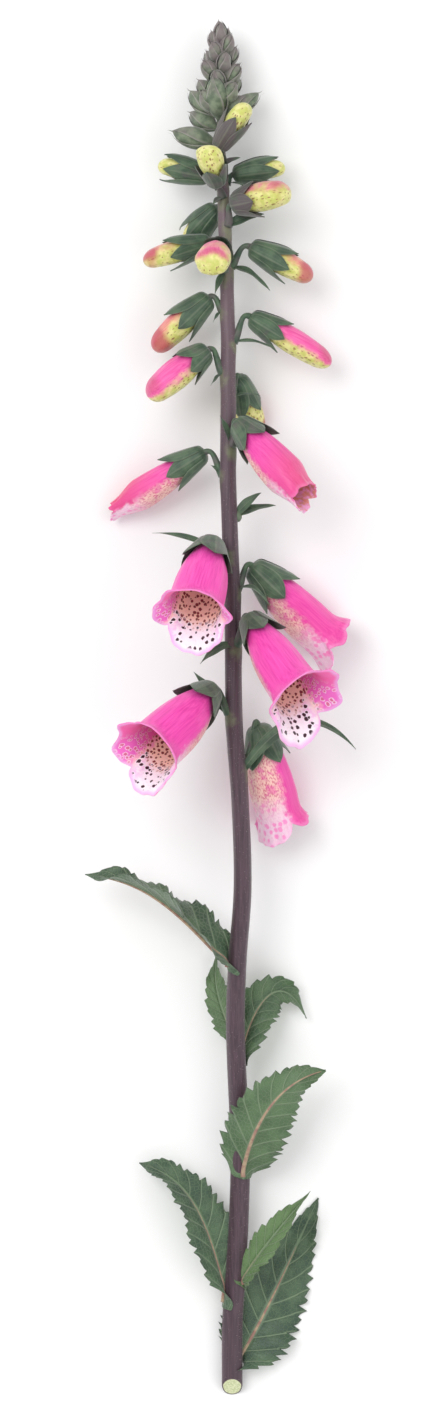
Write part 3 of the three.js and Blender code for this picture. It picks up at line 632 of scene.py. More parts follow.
def petal_outside(colours):
    """Hot pink, with painted shade on the sides and a painted highlight on an open rim; cream mottled with
    pink-brown on the belly; redder at the end of a shut flower.
    """
    finish = Finish("petal_outside", colours, 0.42, 0.15)
    place = finish.mark("place")
    reach = finish.mark("along")
    under = finish.mark("under")
    patches = finish.noise(0.3, place)
    speckle = finish.noise(1.0, finish.stretched(place, (1.9, 1.9, 0.9)), 2)
    lip = finish.rise(reach, 0.6, 0.9)
    pale = finish.mottled("belly", "belly_shade", speckle, 0.42, 0.68)
    pale = finish.coat(pale, "petal_magenta_and_shade", finish.rise(patches, 0.5, 0.66), 0.55)
    pale = finish.coat(pale, "lip", lip, 0.75)
    pale = finish.coat(pale, "petal", finish.spots(**BELLY_RINGS), lip, 0.6)
    skin, veins = petal_reds(finish)
    skin = finish.coat(skin, "coral_shade", finish.mark("tint"))
    # Painted shade: the sides and underside of a bell are darkened with the magenta, all but its upper
    # side.
    skin = finish.coat(skin, "petal_magenta_and_shade", finish.rise(under, 0.1, 0.5), 0.35)
    belly = finish.rise(finish.ragged(under, patches, 0.45), 0.64, 0.84)
    skin = finish.coat(skin, pale, belly, finish.rise(reach, 0.04, 0.2), 0.92)
    skin = finish.coat(skin, "petal_pale_and_highlight", finish.rise(reach, 0.2, 0.04), 0.25)
    # Painted highlight: a pale line along the rim of an open bell.
    skin = finish.coat(skin, "petal_pale_and_highlight", finish.rise(reach, 0.955, 0.99), finish.mark("blush"), 0.4)
    finish.colour(skin)
    finish.bump(veins, 0.2, 0.4)
    finish.glow(0.12)


def petal_inside(colours):
    """Magenta above, darkened with painted shade towards the foot, a peach throat with dense specks below,
    and a white lip with large dark spots.
    """
    finish = Finish("petal_inside", colours, 0.45, 0.1)
    under = finish.mark("under")
    reach = finish.mark("along")
    mottle = finish.noise(0.5, finish.mark("place"), 4)
    # Painted shade: the inside darkens towards the foot of the bell, deep in the tube.
    skin = finish.mottled("inner_shade_and_spots", "inner", reach, 0.3, 0.75)
    sides = finish.times(finish.rise(under, 0.15, 0.4), finish.rise(reach, 0.5, 0.8))
    skin = finish.coat(skin, "inner_side", sides)
    skin = finish.spotted(skin, sides, SIDE_SPOTS, 0.13, ("lip_white", 0.6), ("inner_shade_and_spots", 0.8))
    throat = finish.mottled("inner", "throat", reach, 0.1, 0.4)
    floor = finish.rise(finish.math("MULTIPLY_ADD", mottle, 0.3, under), 0.74, 0.94)
    skin = finish.coat(skin, throat, floor)
    lip = finish.times(finish.rise(reach, 0.76, 0.88), finish.rise(under, 0.68, 0.84))
    skin = finish.coat(skin, "lip_white", lip)
    lilac = finish.times(finish.rise(under, 0.98, 0.8), finish.rise(mottle, 0.35, 0.6))
    skin = finish.coat(skin, "lip_edge", lip, lilac, 0.7)
    in_throat = finish.times(finish.rise(reach, 0.22, 0.3), finish.rise(reach, 0.87, 0.81))
    in_throat = finish.times(finish.rise(under, 0.56, 0.68), in_throat)
    skin = finish.spotted(skin, in_throat, THROAT_SPECKS, 0.1, ("throat_ring", 0.5), ("throat_spot", 0.95))
    on_lip = finish.times(finish.rise(reach, 0.79, 0.83), finish.rise(reach, 0.98, 0.96))
    on_lip = finish.times(finish.rise(under, 0.66, 0.74), on_lip)
    skin = finish.spotted(skin, on_lip, LIP_SPOTS, 0.12, ("lip_white", 1), ("spot", 1))
    skin = finish.coat(skin, "lip_edge", finish.rise(reach, 0.96, 0.995), 0.8)
    young = finish.mottled("coral", "petal_pale_and_highlight", mottle, 0.42, 0.62)
    finish.colour(finish.coat(skin, young, finish.rise(finish.mark("blush"), 0.75, 0.45)))
    finish.bump(mottle, 0.2, 0.3)
    finish.glow(0.12)


def bud_skin(colours):
    """Yellow-green with dark specks below, blushed with coral or pink above and raspberry at the tip."""
    finish = Finish("bud_skin", colours, 0.4, 0.2)
    place = finish.mark("place")
    # Dashes run along the sides, and dots lie on the round end.
    end = finish.rise(finish.mark("along"), 0.92, 0.95)
    dashes = finish.times(finish.spots(**BUD_DASHES), finish.math("SUBTRACT", 1.0, end))
    specks = finish.math("ADD", dashes, finish.times(finish.spots(**BUD_DOTS), end))
    green = finish.mottled("bud", "bud_pale", finish.noise(0.4, place))
    green = finish.coat(green, "bud_speck", specks, finish.rise(finish.mark("under"), 0.2, 0.6), 0.8)
    red, veins = petal_reds(finish)
    uneven = finish.noise(0.25, place, 4)
    spread = finish.ragged(finish.mark("blush"), uneven, 0.5)
    skin = finish.coat(green, red, finish.rise(spread, 0.25, 0.6))
    tip = finish.rise(finish.ragged(finish.mark("tint"), uneven, 0.25), 0.25, 0.6)
    paler = finish.math("MULTIPLY_ADD", finish.mark("pinkness"), -0.5, 0.9)
    finish.colour(finish.coat(skin, "bud_tip", tip, paler))
    finish.bump(veins, 0.2, 0.5)
    finish.glow(0.1)


def sepal_skin(colours):
    """Green with fine veins, tinged purple in places and paler at the edge."""
    finish = Finish("sepal_skin", colours, 0.5, 0.3)
    across = finish.mark("across")
    off_rib = finish.math("ABSOLUTE", across)
    green = finish.mottled("sepal", "sepal_light", finish.noise(0.22, detail=4))
    purple = finish.math("MULTIPLY_ADD", finish.noise(0.2), 1.6, -0.85)
    purple = finish.rise(finish.math("ADD", finish.mark("tint"), purple), 0.2, 0.75)
    green = finish.coat(green, "sepal_tint", purple, 0.8)
    lines = finish.rise(finish.math("SINE", finish.times(across, SEPAL_VEINS)), 0.6, 1.0)
    veins = finish.times(lines, finish.rise(finish.mark("along"), 0.05, 0.3))
    green = finish.coat(green, "sepal_edge", veins, 0.12)
    green = finish.coat(green, "sepal_edge", finish.rise(off_rib, 0.12, 0.03), 0.28)
    finish.colour(finish.coat(green, "sepal_edge", finish.rise(off_rib, 0.86, 1.0), 0.4))
    finish.bump(finish.math("MULTIPLY_ADD", veins, 0.5, finish.noise(3.5)), 0.12, 0.6)


def stem_skin(colours):
    """Dull purple-brown with lengthwise streaks, greyer at the top and greenish where flowers grow."""
    finish = Finish("stem_skin", colours, 0.5, 0.25)
    streaks = finish.noise(1.0, finish.where((1.2, 0.035, 1.2)), 4)
    skin = finish.mottled("stem", "stem_dark", streaks, 0.3, 0.7)
    skin = finish.coat(skin, "stem_top", finish.mark("blush"), 0.75)
    green = finish.rise(finish.ragged(finish.mark("tint"), finish.noise(0.3), 1.2), 0.3, 1.1)
    skin = finish.coat(skin, "stem_green", green, 0.6)
    pith = finish.mottled("pith", "pith_shade", finish.noise(1.4))
    finish.colour(finish.coat(skin, pith, finish.rise(finish.mark("under"), 0.3, 0.7)))
    finish.bump(finish.math("ADD", streaks, finish.times(finish.noise(4.0), 0.4)), 0.15, 0.6)


def head_skin(colours):
    """Grey-green buds with purple-grey edges and tips."""
    finish = Finish("head_skin", colours, 0.6, 0.35)
    green = finish.mottled("head", "head_light", finish.noise(0.35, detail=4))
    tinged = finish.rise(finish.ragged(finish.mark("tint"), finish.noise(0.2), 0.9), 0.3, 0.8)
    green = finish.coat(green, "head_tint", tinged, 0.8)
    edge = finish.rise(finish.math("ABSOLUTE", finish.mark("across")), 0.72, 1.0)
    finish.colour(finish.coat(green, "head_edge", edge, 0.6))
    finish.bump(finish.noise(3.0), 0.15, 0.6)


def leaf_skin(colours, name, main, vein_share, raised):
    """One face of a leaf: green with a net of veins, which are raised or sunk, and fine wrinkles."""
    finish = Finish(name, colours, 0.46, 0.2)
    across = finish.math("ABSOLUTE", finish.mark("across"))
    lean = finish.times(across, -VEIN_LEAN)
    phase = finish.math("MULTIPLY_ADD", finish.mark("along"), float(SIDE_VEINS), lean)
    saw = finish.math("ABSOLUTE", finish.math("MULTIPLY_ADD", finish.math("FRACT", phase), 2.0, -1.0))
    veins = finish.math("MAXIMUM", finish.rise(saw, 0.8, 0.97), finish.rise(across, 0.12, 0.04))
    net = finish.cells(finish.stretched(finish.mark("flat"), (0.6, 0.6, 1)), "DISTANCE_TO_EDGE")
    net_vein = finish.times(finish.rise(net.outputs["Distance"], 0.13, 0.02), 0.5)
    veins = finish.math("MAXIMUM", veins, net_vein)
    green = finish.mottled(main, main + "_light", finish.noise(0.12, detail=4))
    green = finish.coat(green, "leaf_fresh", finish.mark("tint"), 0.6)
    green = finish.coat(green, main + "_vein", veins, vein_share)
    finish.colour(finish.coat(green, "sepal_tint", finish.rise(across, 0.96, 1.0), 0.35))
    wrinkles = finish.times(finish.noise(0.9), 0.3)
    finish.bump(finish.math("MULTIPLY_ADD", veins, raised, wrinkles), 0.4, 0.8)


def plain(colours, name, first, second, roughness, scale, sheen=0.0):
    """A finish of two near colours."""
    finish = Finish(name, colours, roughness, sheen)
    finish.colour(finish.mottled(first, second, finish.noise(scale)))
    finish.bump(finish.noise(scale * 3), 0.1, 0.4)


def make_finishes(colours):
    for make in (petal_outside, petal_inside, bud_skin, sepal_skin, stem_skin, head_skin):
        make(colours)
    leaf_skin(colours, "leaf_upper", "leaf", 0.5, -1.0)
    leaf_skin(colours, "leaf_under", "leaf_under", 0.6, 1.0)
    plain(colours, "leaf_rib", "rib", "rib_shade", 0.5, 0.4, 0.2)
    plain(colours, "filament", "filament", "lip", 0.4, 0.6)
    plain(colours, "anther", "anther", "anther_speck", 0.6, 1.2)
    plain(colours, "fuzz", "fuzz", "fuzz", 0.6, 1.0, 0.3)
    plain(colours, "paper", "floor", "floor", 0.8, 0.02)


# ---- Flowers ----
def flower_frame(flower):
    """The flower's own axes: Z is the way it points, Y its upper side."""
    centre, _ = stem_at(flower.at)
    droop = math.radians(flower.droop)
    points = side_of(flower.face) * math.cos(droop) - UP_STEM * math.sin(droop)
    top = (UP_STEM - points * UP_STEM.dot(points)).normalized()
    axes = Matrix((top.cross(points), top, points)).transposed().to_4x4()
    return Matrix.Translation(centre + Vector(flower.foot)) @ axes


def is_bud(flower):
    return flower.open < BUD_OPEN


def lobe_shares(angle):
    """How much of each lobe of a lip there is at an angle from the belly."""
    side = math.degrees(abs(angle))
    off = {name: (side - middle) / spread for name, (middle, spread) in LOBES.items()}
    return {
        "notch": 1,
        "lower": max(0.0, 1 - off["lower"] ** 2) ** LOWER_LOBE_END,
        "lateral": bump(off["lateral"]),
        "upper": bump(off["upper"]),
    }


def lobed(table, shares):
    return sum(table[name] * share for name, share in shares.items())


def bell_point(flower, angle, v):
    """A point of an open corolla, in the flower's frame, with the angle counted from the belly."""
    shares = lobe_shares(angle)
    lip = smoothstep(v, LIP_FROM, 1)
    reach = lobed(LIP, shares) * lip * lerp(SHUT_LIP, 1, flower.open)
    flare = lobed(FLARE, shares) * lerp(-SHUT_LIP, 1, flower.open)
    seed = flower.at * 0.7
    waves = (high * math.sin(count * angle + k * seed) for k, (count, high) in enumerate(RUFFLES, 1))
    ruffle = smoothstep(v, RUFFLE_FROM, 1) * sum(waves)
    ribs = 1 + RIBS["bell"] * math.cos(RIBS["count"] * angle) * math.sin(math.pi * v)
    belly = 1 + BELLY * math.sin(math.pi * v) * math.cos(angle)
    spread = flare * clamp((v - FLARE_FROM) / (1 - FLARE_FROM)) ** 2
    radius = flower.wide * along(BELL, v)[0] * belly * ribs + spread + ruffle
    # The rim goes on along a small circle, from the slope that the flare has there.
    start = math.atan(2 * flare / (1 - FLARE_FROM) / flower.long)
    turn = ROLL_TURN * clamp((v - ROLL_FROM) / (1 - ROLL_FROM)) * flower.open
    turn *= 1 - LOWER_UNROLLED * shares["lower"]
    radius += ROLL_R * (math.cos(start) - math.cos(start + turn))
    z = flower.long * v + reach + 0.5 * ruffle + ROLL_R * (math.sin(start + turn) - math.sin(start))
    shut = (1 - flower.open) * lip
    point = ring(angle, radius * (1 - PINCHED["round"] * shut), z)
    point.y = point.y * (1 - PINCHED["flat"] * shut) - BELL_SAG * v * v
    return point


def bud_point(flower, angle, v):
    """A point of a closed corolla: a pear shape with a soft fold between its upper and lower lip."""
    cap = clamp((v - BUD_CAP) / (1 - BUD_CAP))
    radius = flower.wide * along(BUD, min(v, BUD_CAP))[0] * math.sqrt(1 - cap * cap)
    fold = fade((abs(angle) - math.radians(BUD_FOLD["angle"])) / BUD_FOLD["spread"])
    fold *= BUD_FOLD["deep"] * smoothstep(v, BUD_FOLD["from"], BUD_FOLD["to"])
    ribs = RIBS["bud"] * math.cos(RIBS["count"] * angle)
    point = ring(angle, radius * (1 - fold + ribs), flower.long * v)
    flat = smoothstep(v, BUD_FLAT["from"], BUD_FLAT["to"])
    point.x *= 1 + BUD_FLAT["wider"] * flat
    point.y = point.y * (1 - BUD_FLAT["lower"] * flat) - BUD_SAG * v * v
    return point


def held_radius(flower, z):
    """The corolla's widest radius inside the calyx, from a place along it to a step further on."""
    rows, ease = (BUD, 1) if is_bud(flower) else (BELL, 1.05)
    return flower.wide * ease * max(along(rows, clamp(at / flower.long))[0] for at in (z, z + CALYX_BASE))


def corolla_marks(flower, angle, v, point):
    """What a corolla's finishes are drawn by. Its seed moves the pattern, so that no two are alike."""
    seed = flower.at * 1.7
    return {
        "under": 0.5 + 0.5 * math.cos(angle),
        "along": v,
        "pinkness": flower.pinkness,
        "place": point + Vector((seed, 0, 0)),
        "flat": Vector((angle * flower.wide * 0.95 + seed, point.z, 0)),
    }


def add_bell(bm, flower, wall):
    frame_of = flower_frame(flower)

    def turned(u, v):
        """The angle and the place along the bell, with the rows close together at the rim."""
        return 2 * math.pi * (u - 0.5), 1 - (1 - v) ** 1.4

    def place(u, v):
        return laid_flat(frame_of @ bell_point(flower, *turned(u, v)), wall * 0.5)

    def marks(u, v):
        angle, v = turned(u, v)
        made = corolla_marks(flower, angle, v, bell_point(flower, angle, v))
        return {**made, "tint": (1 - flower.open) * smoothstep(v, 0.3, 0.9), "blush": flower.open}

    sheet(bm, *GRIDS["bell"], place, marks, wall, wrapped=True, skins=(0, 1))


def add_lip_hairs(bm, flower, wall, length, draw):
    """White hairs that stand on the lower lip, inside."""
    frame_of = flower_frame(flower)
    turn = frame_of.to_3x3()
    for _ in range(int(LIP_HAIRS * flower.open)):
        angle = math.radians(draw.uniform(-LIP_HAIR_ANGLE, LIP_HAIR_ANGLE))
        root = bell_point(flower, angle, draw.uniform(*LIP_HAIR_AT))
        way = turn @ ring(angle, -1, 0.35 + draw.uniform(-0.3, 0.3)).normalized()
        start = laid_flat(frame_of @ root) + way * wall * 0.7
        hair(bm, start, way, length * draw.uniform(0.6, 1.2), LIP_HAIR_R, 2)


def add_bud(bm, flower):
    frame_of = flower_frame(flower)

    def turned(u, v):
        return 2 * math.pi * (u - 0.5), eased(v)

    def place(u, v):
        return laid_flat(frame_of @ bud_point(flower, *turned(u, v)))

    def marks(u, v):
        angle, v = turned(u, v)
        # The red comes from above, spreads over the bud as it ages, and is deepest at the tip.
        over = 0.5 - 0.5 * math.cos(angle)
        over = lerp(smoothstep(over, 0.3, 0.9), over, flower.blush)
        blush = flower.blush * (0.15 + 0.9 * over + 0.35 * smoothstep(v, 0.7, 1) * over)
        tip = smoothstep(v, 0.55, 0.95) * min(1, 1.6 * flower.blush) * (1.15 - 0.55 * flower.pinkness)
        tip *= 1 - (1 - over) * (0.25 + 0.7 * flower.pinkness)
        # The very end of a young pink bud is still green.
        green_end = 1 - min(1, 1.7 * flower.pinkness) * (1 - flower.blush) * smoothstep(v, 0.86, 0.98)
        made = corolla_marks(flower, angle, v, bud_point(flower, angle, v))
        return {**made, "blush": blush * green_end, "tint": tip * green_end}

    sheet(bm, *GRIDS["bud"], place, marks, wrapped=True)


def sepal_half(v):
    """Half the angle that a sepal covers: broad to its middle, then narrowing to a point."""
    broad = math.radians(SEPAL_HALF) * lerp(0.75, 1, smoothstep(v, 0, 0.25))
    return broad * (1 - clamp((v - 0.45) / 0.55) ** 2.1)


def add_sepals(bm, flower, wall):
    """Five pointed sepals, each with its edge over or under the next, joined at the foot."""
    frame_of = flower_frame(flower)
    hang = BUD_SAG if is_bud(flower) else BELL_SAG
    for k, (layer, share) in enumerate(SEPALS):
        turn = 2 * math.pi * k / len(SEPALS)
        long = flower.sheath * share + CALYX_BASE

        def place(u, v, turn=turn, layer=layer, long=long):
            c = 2 * u - 1
            z = long * v**1.25 - CALYX_BASE
            dome = math.sqrt(smoothstep(v, -0.002, 0.14))
            curl = 0.4 * v**6 - 0.2 * c * c * v
            rib = 0.22 * (1 - abs(c)) ** 4 * smoothstep(v, 0.05, 0.2)
            radius = (held_radius(flower, z) + 1.0 + layer * smoothstep(v, 0, 0.2) + curl) * dome + rib
            point = ring(turn + c * sepal_half(v), max(radius, 0.2), z)
            point.y -= hang * clamp(z / flower.long) ** 2
            return laid_flat(frame_of @ point, wall)

        def marks(u, v):
            return {"across": 2 * u - 1, "along": v, "tint": flower.tint}

        sheet(bm, *GRIDS["sepal"], place, marks, wall)


def small_leaf(bm, root, out, tip, arch, half, tint, wall):
    """A narrow leaf with a fold along its rib, arching up the stem from its root to its tip."""
    lift = (UP_STEM + Vector((0, 0, SMALL_TURN)) + out * 0.7).normalized()
    middle = root.lerp(tip, 0.5) + SMALL_ARCH * arch
    path = bezier(root, middle, tip)

    def place(u, v):
        way = tangent(path, v)
        across = way.cross(lift).normalized()
        c = 2 * u - 1
        width = half * (0.45 + 2.2 * v * (1 - v)) * (1 - v**3)
        wave = 0.12 * half * math.sin(11 * v + 2 * c) * c * c
        point = path(v) + across * c * (width + 0.03) + lift * (0.35 * abs(c) * width + wave)
        return laid_flat(point, wall)

    def marks(u, v):
        return {"across": 2 * u - 1, "along": v, "tint": tint}

    sheet(bm, *GRIDS["small_leaf"], place, marks, wall)


def add_stalk(bm, flower):
    """The stalk, which bends down out of the stem into the foot of the calyx."""
    frame_of = flower_frame(flower)
    centre, stem_radius = stem_at(flower.at)
    points = frame_of.to_3x3() @ Vector((0, 0, 1))
    out = away(flower.foot)
    root = centre + out * stem_radius * STALK["start"]
    seat = frame_of.translation + points * (0.9 - CALYX_BASE)
    reach = (seat - root).length
    rise = clamp(flower.foot[1], 0, STALK["highest"])
    rising = root + out * reach * STALK["out"] + UP_STEM * rise * STALK["up"]
    path = bezier(root, rising, seat - points * reach * STALK["in"], seat)

    def radius(t):
        low, high = STALK_ENDS
        return STALK_R * (1 + low * (1 - t) ** 3 + high * smoothstep(t, 0.75, 1))

    def marks(u, t):
        return {"tint": 0.35 + 0.3 * flower.tint, "along": 0, "across": 0.4}

    tube(bm, path, radius, 20, 14, marks)


def add_bract(bm, flower, wall):
    """The small leaf under the stalk."""
    centre, stem_radius = stem_at(flower.at)
    out = away(flower.foot) if flower.leaf_side is None else side_of(flower.leaf_side)
    root = centre + out * stem_radius * 0.75
    tip = root + Vector(flower.leaf)
    small_leaf(bm, root, out, tip, flower.arch, flower.half, flower.tint * 0.6, wall)


def add_spare_leaves(bm, wall):
    """The knot and the two small leaves of a flower that never grew."""
    centre, radius = stem_at(SPARE_AT)
    out = away(SPARE_ROOT)
    root = centre + out * radius * 0.7
    ball(bm, centre + out * (radius + 0.2), KNOT, 0, {"tint": 0.2})
    for tip in SPARE_TIPS:
        small_leaf(bm, root, out, root + Vector(tip), SPARE_ARCH, SPARE_HALF, 0.1, wall)


def add_stamens(bm, flower):
    """The ovary with its style, and four stamens with paired anthers under the upper side of the bell."""
    frame_of = flower_frame(flower)
    foot, tall = OVARY
    ovary = bezier(*((0, 0, foot + tall * share) for share in (0, 0.5, 1)))
    tube(bm, lambda t: frame_of @ ovary(t), lambda t: 1.8 * bump((t - 0.35) / 0.8) + 0.12, 12, 12)

    def thread(side, reach, high):
        height = flower.wide * high
        line = bezier(
            (side * 0.12, 0.3, foot + 1.2),
            (side * 1.1, height * 0.5, flower.long * reach * 0.5),
            (side, height, flower.long * reach),
        )
        tube(bm, lambda t: frame_of @ line(t), lambda t: 0.45 - 0.15 * t, 14, 8)
        return line(1)

    thread(*STYLE, STYLE_HIGH)
    for side, reach in STAMENS:
        end = thread(side, reach, STAMEN_HIGH)
        for half in (-0.7, 0.7):
            ball(bm, frame_of @ (end + Vector((half, 0, 0))), (ANTHER_R,) * 3, 1)


# ---- Stem, head and leaves ----
def stem_rows():
    """The rings of the stem, from the middle of its cut face: place along it, share of the radius, cut."""
    rows = [(CUT_Y, share, cut) for share, cut in ((0, 1), (0.4, 1), (0.8, 1), (0.88, 0.4), (0.97, 0))]
    rows.append((CUT_Y + 0.4, 1, 0))
    steps = GRIDS["stem"][1]
    rows += [(lerp(CUT_Y + 2, STEM_TOP, i / steps), 1, 0) for i in range(steps + 1)]
    return rows + [(STEM_TOP, 0, 0)]


def flower_marks(y, side):
    """How close a point of the stem is to the foot of a stalk."""
    best = 0.0
    for flower in FLOWERS:
        if abs(y - flower.at) < 16:
            facing = clamp(0.4 + 0.6 * side.dot(away(flower.foot)))
            best = max(best, fade((y - flower.at + 2) / 5) * facing)
    return best


def add_stem(bm):
    rows = stem_rows()

    def spot(u, v):
        """The ring that a point is on, and the way that it faces."""
        turn = 2 * math.pi * u
        return rows[round(v * (len(rows) - 1))], turn, Vector((math.sin(turn), 0, math.cos(turn)))

    def place(u, v):
        (y, share, _), turn, side = spot(u, v)
        centre, radius = stem_at(y)
        ridges = 1 + 0.025 * math.cos(5 * turn + y / 70)
        uneven = 0.12 * math.sin(y / 3.1) * smoothstep(y, 470, STEM_TOP)
        size = share * (radius * ridges + 0.45 * flower_marks(y, side) + uneven)
        slant = CUT_SLANT * side.z * share * clamp((FLAT_Y - y) / (FLAT_Y - CUT_Y))
        return laid_flat(centre + side * size + UP_STEM * slant)

    def marks(u, v):
        (y, _, cut), _, side = spot(u, v)
        return {"under": cut, "tint": flower_marks(y, side), "blush": smoothstep(y, 330, STEM_TOP)}

    sheet(bm, GRIDS["stem"][0], len(rows) - 1, place, marks, wrapped=True)


def add_stem_hairs(bm, length, count, draw):
    for _ in range(count):
        y = draw.uniform(CUT_Y + 3, STEM_TOP)
        centre, radius = stem_at(y)
        out = side_of(draw.uniform(0, 360))
        root = centre + out * (radius - 0.1)
        if root.z > length:
            way = (out + UP_STEM * draw.uniform(-0.3, 0.3)).normalized()
            hair(bm, root, way, length * draw.uniform(0.6, 1.2), STEM_HAIR_R, 1)


def add_pod(bm, at, face, rise, long, wide, tint):
    """A closed bud of the head, wrapped in pointed sepals."""
    centre, radius = stem_at(at)
    out = side_of(face)
    steep = math.radians(rise)
    points = out * math.cos(steep) + UP_STEM * math.sin(steep)
    root = centre + out * radius * 0.3
    across = points.cross(out).normalized()
    top = across.cross(points)

    def round_axis(angle, size, share):
        way = across * math.cos(angle) + top * math.sin(angle)
        return laid_flat(root + points * long * share + way * size)

    def body(u, v):
        turn = 2 * math.pi * u
        share = eased(v)
        folds = 1 + 0.07 * math.cos(5 * turn) * smoothstep(share, 0.15, 0.6)
        return round_axis(turn, wide * along(POD, share)[0] * folds, share)

    def body_marks(u, v):
        shade = tint + 0.35 * smoothstep(v, 0.5, 1)
        return {"along": v, "tint": shade, "across": 0.5 * math.cos(10 * math.pi * u)}

    sheet(bm, *GRIDS["pod"], body, body_marks, wrapped=True)
    for side in POD_SEPALS:

        def place(u, v, side=side):
            share = 0.05 + 1.06 * v
            half = 60 * (1 - v**1.7)
            size = wide * along(POD, clamp(share))[0] * 1.08 + 0.35 + 0.5 * smoothstep(share, 0.85, 1.1)
            return round_axis(math.radians(side + (2 * u - 1) * half), size, share)

        def sepal_marks(u, v):
            return {"across": 2 * u - 1, "along": v, "tint": tint + 0.4 * v}

        sheet(bm, *GRIDS["pod_sepal"], place, sepal_marks, 0.3)


def add_head(bm):
    axis = [stem_at(lerp(STEM_TOP + 0.3, HEAD_TOP, t))[0] for t in (0, 0.33, 0.66, 1)]
    tube(bm, bezier(*axis), lambda t: lerp(1.9, 0.9, t), 20, 16, lambda u, t: {"tint": 0.5, "across": 0})
    for at, face, rise, long, wide in HEAD_PODS:
        add_pod(bm, at, face, rise, long, wide * POD_SLIM, 0.15)
    for i in range(SCALES):
        share = i / (SCALES - 1)
        at = lerp(STEM_TOP + 14, HEAD_TOP - 4, share**0.95)
        rise = lerp(*SCALE_RISE, share) + TIP_RISE * share**6
        long, wide = lerp(*SCALE_LONG, share), lerp(*SCALE_WIDE, share)
        add_pod(bm, at, i * GOLDEN_ANGLE, rise, long, wide, 0.25 + 0.35 * share)


def leaf_axes(leaf, path, t):
    """The way across a leaf and the way out of its upper face."""
    way = tangent(path, t)
    across = way.cross(bezier(*leaf.faces)(t)).normalized()
    return across, across.cross(way)


def leaf_rib(leaf):
    """The line of a leaf's rib, from inside the stem to its tip, and the way it leaves the stem."""
    centre, radius = stem_at(leaf.at)
    out = away(leaf.lead)
    root = centre + out * radius * 0.5
    return bezier(root, *(root + Vector(p) for p in (leaf.lead, leaf.hang, leaf.tip))), out


def leaf_outline(t):
    """The width of a leaf along its rib, as a share of its widest."""
    return math.sin(math.pi * min(0.995, 0.13 + 0.87 * t**0.78)) ** 0.9


def leaf_tooth(leaf, c, t, teeth):
    """How much wider or narrower a tooth makes a leaf, as a share of its width."""
    saw = (t * teeth + (0.3 if c > 0 else 0)) % 1
    size = 0.24 + 0.12 * math.sin(2.3 * t * teeth + leaf.at)
    return (saw**0.8 - 0.55) * size * abs(c) ** 6 * smoothstep(t, 0.03, 0.12)


def leaf_rise(leaf, c, t, width):
    """How far a blade rises over its rib's line: fold, waves, the pads between its veins and a groove."""
    outline = leaf_outline(t)
    wave = leaf.wave * leaf.half * c * c * math.sin(9 * t + (0 if c > 0 else 2))
    frill = 0.12 * leaf.half * c**4 * math.sin(23 * t + (1 if c > 0 else 3))
    phase = t * SIDE_VEINS - abs(c) * VEIN_LEAN
    pads = (1 - abs(2 * (phase % 1) - 1) ** 3) * smoothstep(abs(c), 0.02, 0.3)
    quilt = 0.4 * pads * outline * min(1, leaf.half / 9)
    groove = 0.35 * fade(c / 0.09) * outline
    return leaf.fold * abs(c) * width + wave + frill + quilt - groove + 0.35


def round_the_stem(point, across, out, aside):
    """The place on the stem's side that a point of a leaf's foot wraps onto."""
    centre, radius = stem_at(point.y)
    size = radius + 0.5
    side = UP_STEM.cross(out)
    side *= 1 if side.dot(across) > 0 else -1
    turn = clamp(aside / size, -1.9, 1.9)
    return centre + (out * math.cos(turn) + side * math.sin(turn)) * size


def leaf_point(leaf, path, out, u, t, teeth):
    """A point of the upper face of a leaf's blade."""
    across, over = leaf_axes(leaf, path, t)
    c = 2 * u - 1
    width = leaf.half * leaf_outline(t) * (1 + leaf_tooth(leaf, c, t, teeth))
    point = path(t) + across * c * width + over * leaf_rise(leaf, c, t, width)
    clasp = round_the_stem(point, across, out, c * width)
    return laid_flat(point.lerp(clasp, 1 - smoothstep(t, 0, CLASPED)), LEAF_LOWEST)


def add_leaf(bm, leaf, wall, teeth):
    path, out = leaf_rib(leaf)
    long = sum((path((i + 1) / 20) - path(i / 20)).length for i in range(20))
    count = max(7, round(teeth * long / TOOTHED_LONG))

    def place(u, v):
        return leaf_point(leaf, path, out, u, v, count)

    def marks(u, v):
        c = 2 * u - 1
        flat = Vector((c * leaf.half * leaf_outline(v), v * long, 0))
        return {"across": c, "along": v, "tint": leaf.fresh, "flat": flat}

    columns, rows = GRIDS["leaf"]
    sheet(bm, columns, count * rows, place, marks, wall, skins=(0, 1))

    def rib_path(t):
        t = 0.02 + 0.95 * t
        _, over = leaf_axes(leaf, path, t)
        depth = 0.25 + 0.25 * (1 - t)
        return leaf_point(leaf, path, out, 0.5, t, count) - over * depth

    thick = 0.055 * leaf.half + 0.35
    tube(bm, rib_path, lambda t: lerp(thick, 0.16, t**0.7), 60, 12, skin=2)


# ---- The add-on ----
def colour(name, text, *screen):
    """A colour of the panel, from its screen values of 0 to 255."""
    shares = [x / 255 for x in screen]
    linear = [x / 12.92 if x < 0.0431 else ((x + 0.055) / 1.055) ** 2.4 for x in shares]
    return FloatVectorProperty(name=name, description=text, subtype="COLOR", min=0, max=1, default=linear)


class FoxgloveSizes(bpy.types.PropertyGroup):
    petal_wall: FloatProperty(
        name="Petal wall", description="Thickness of an open corolla", default=0.0006, unit="LENGTH"
    )
    sepal_wall: FloatProperty(
        name="Sepal wall", description="Thickness of a sepal or small leaf", default=0.0005, unit="LENGTH"
    )
    leaf_wall: FloatProperty(
        name="Leaf wall", description="Thickness of a leaf's blade", default=0.0005, unit="LENGTH"
    )
    leaf_teeth: IntProperty(
        name="Leaf teeth", description="Teeth on each edge of a leaf 70 mm long", default=17, min=4
    )
    stem_hair: FloatProperty(
        name="Stem hair", description="Length of the hairs on the stem", default=0.0008, unit="LENGTH"
    )
    stem_hairs: IntProperty(
        name="Stem hairs", description="How many hairs stand on the stem", default=3000, min=0
    )
    lip_hair: FloatProperty(
        name="Lip hair", description="Length of the hairs on the lower lips", default=0.002, unit="LENGTH"
    )


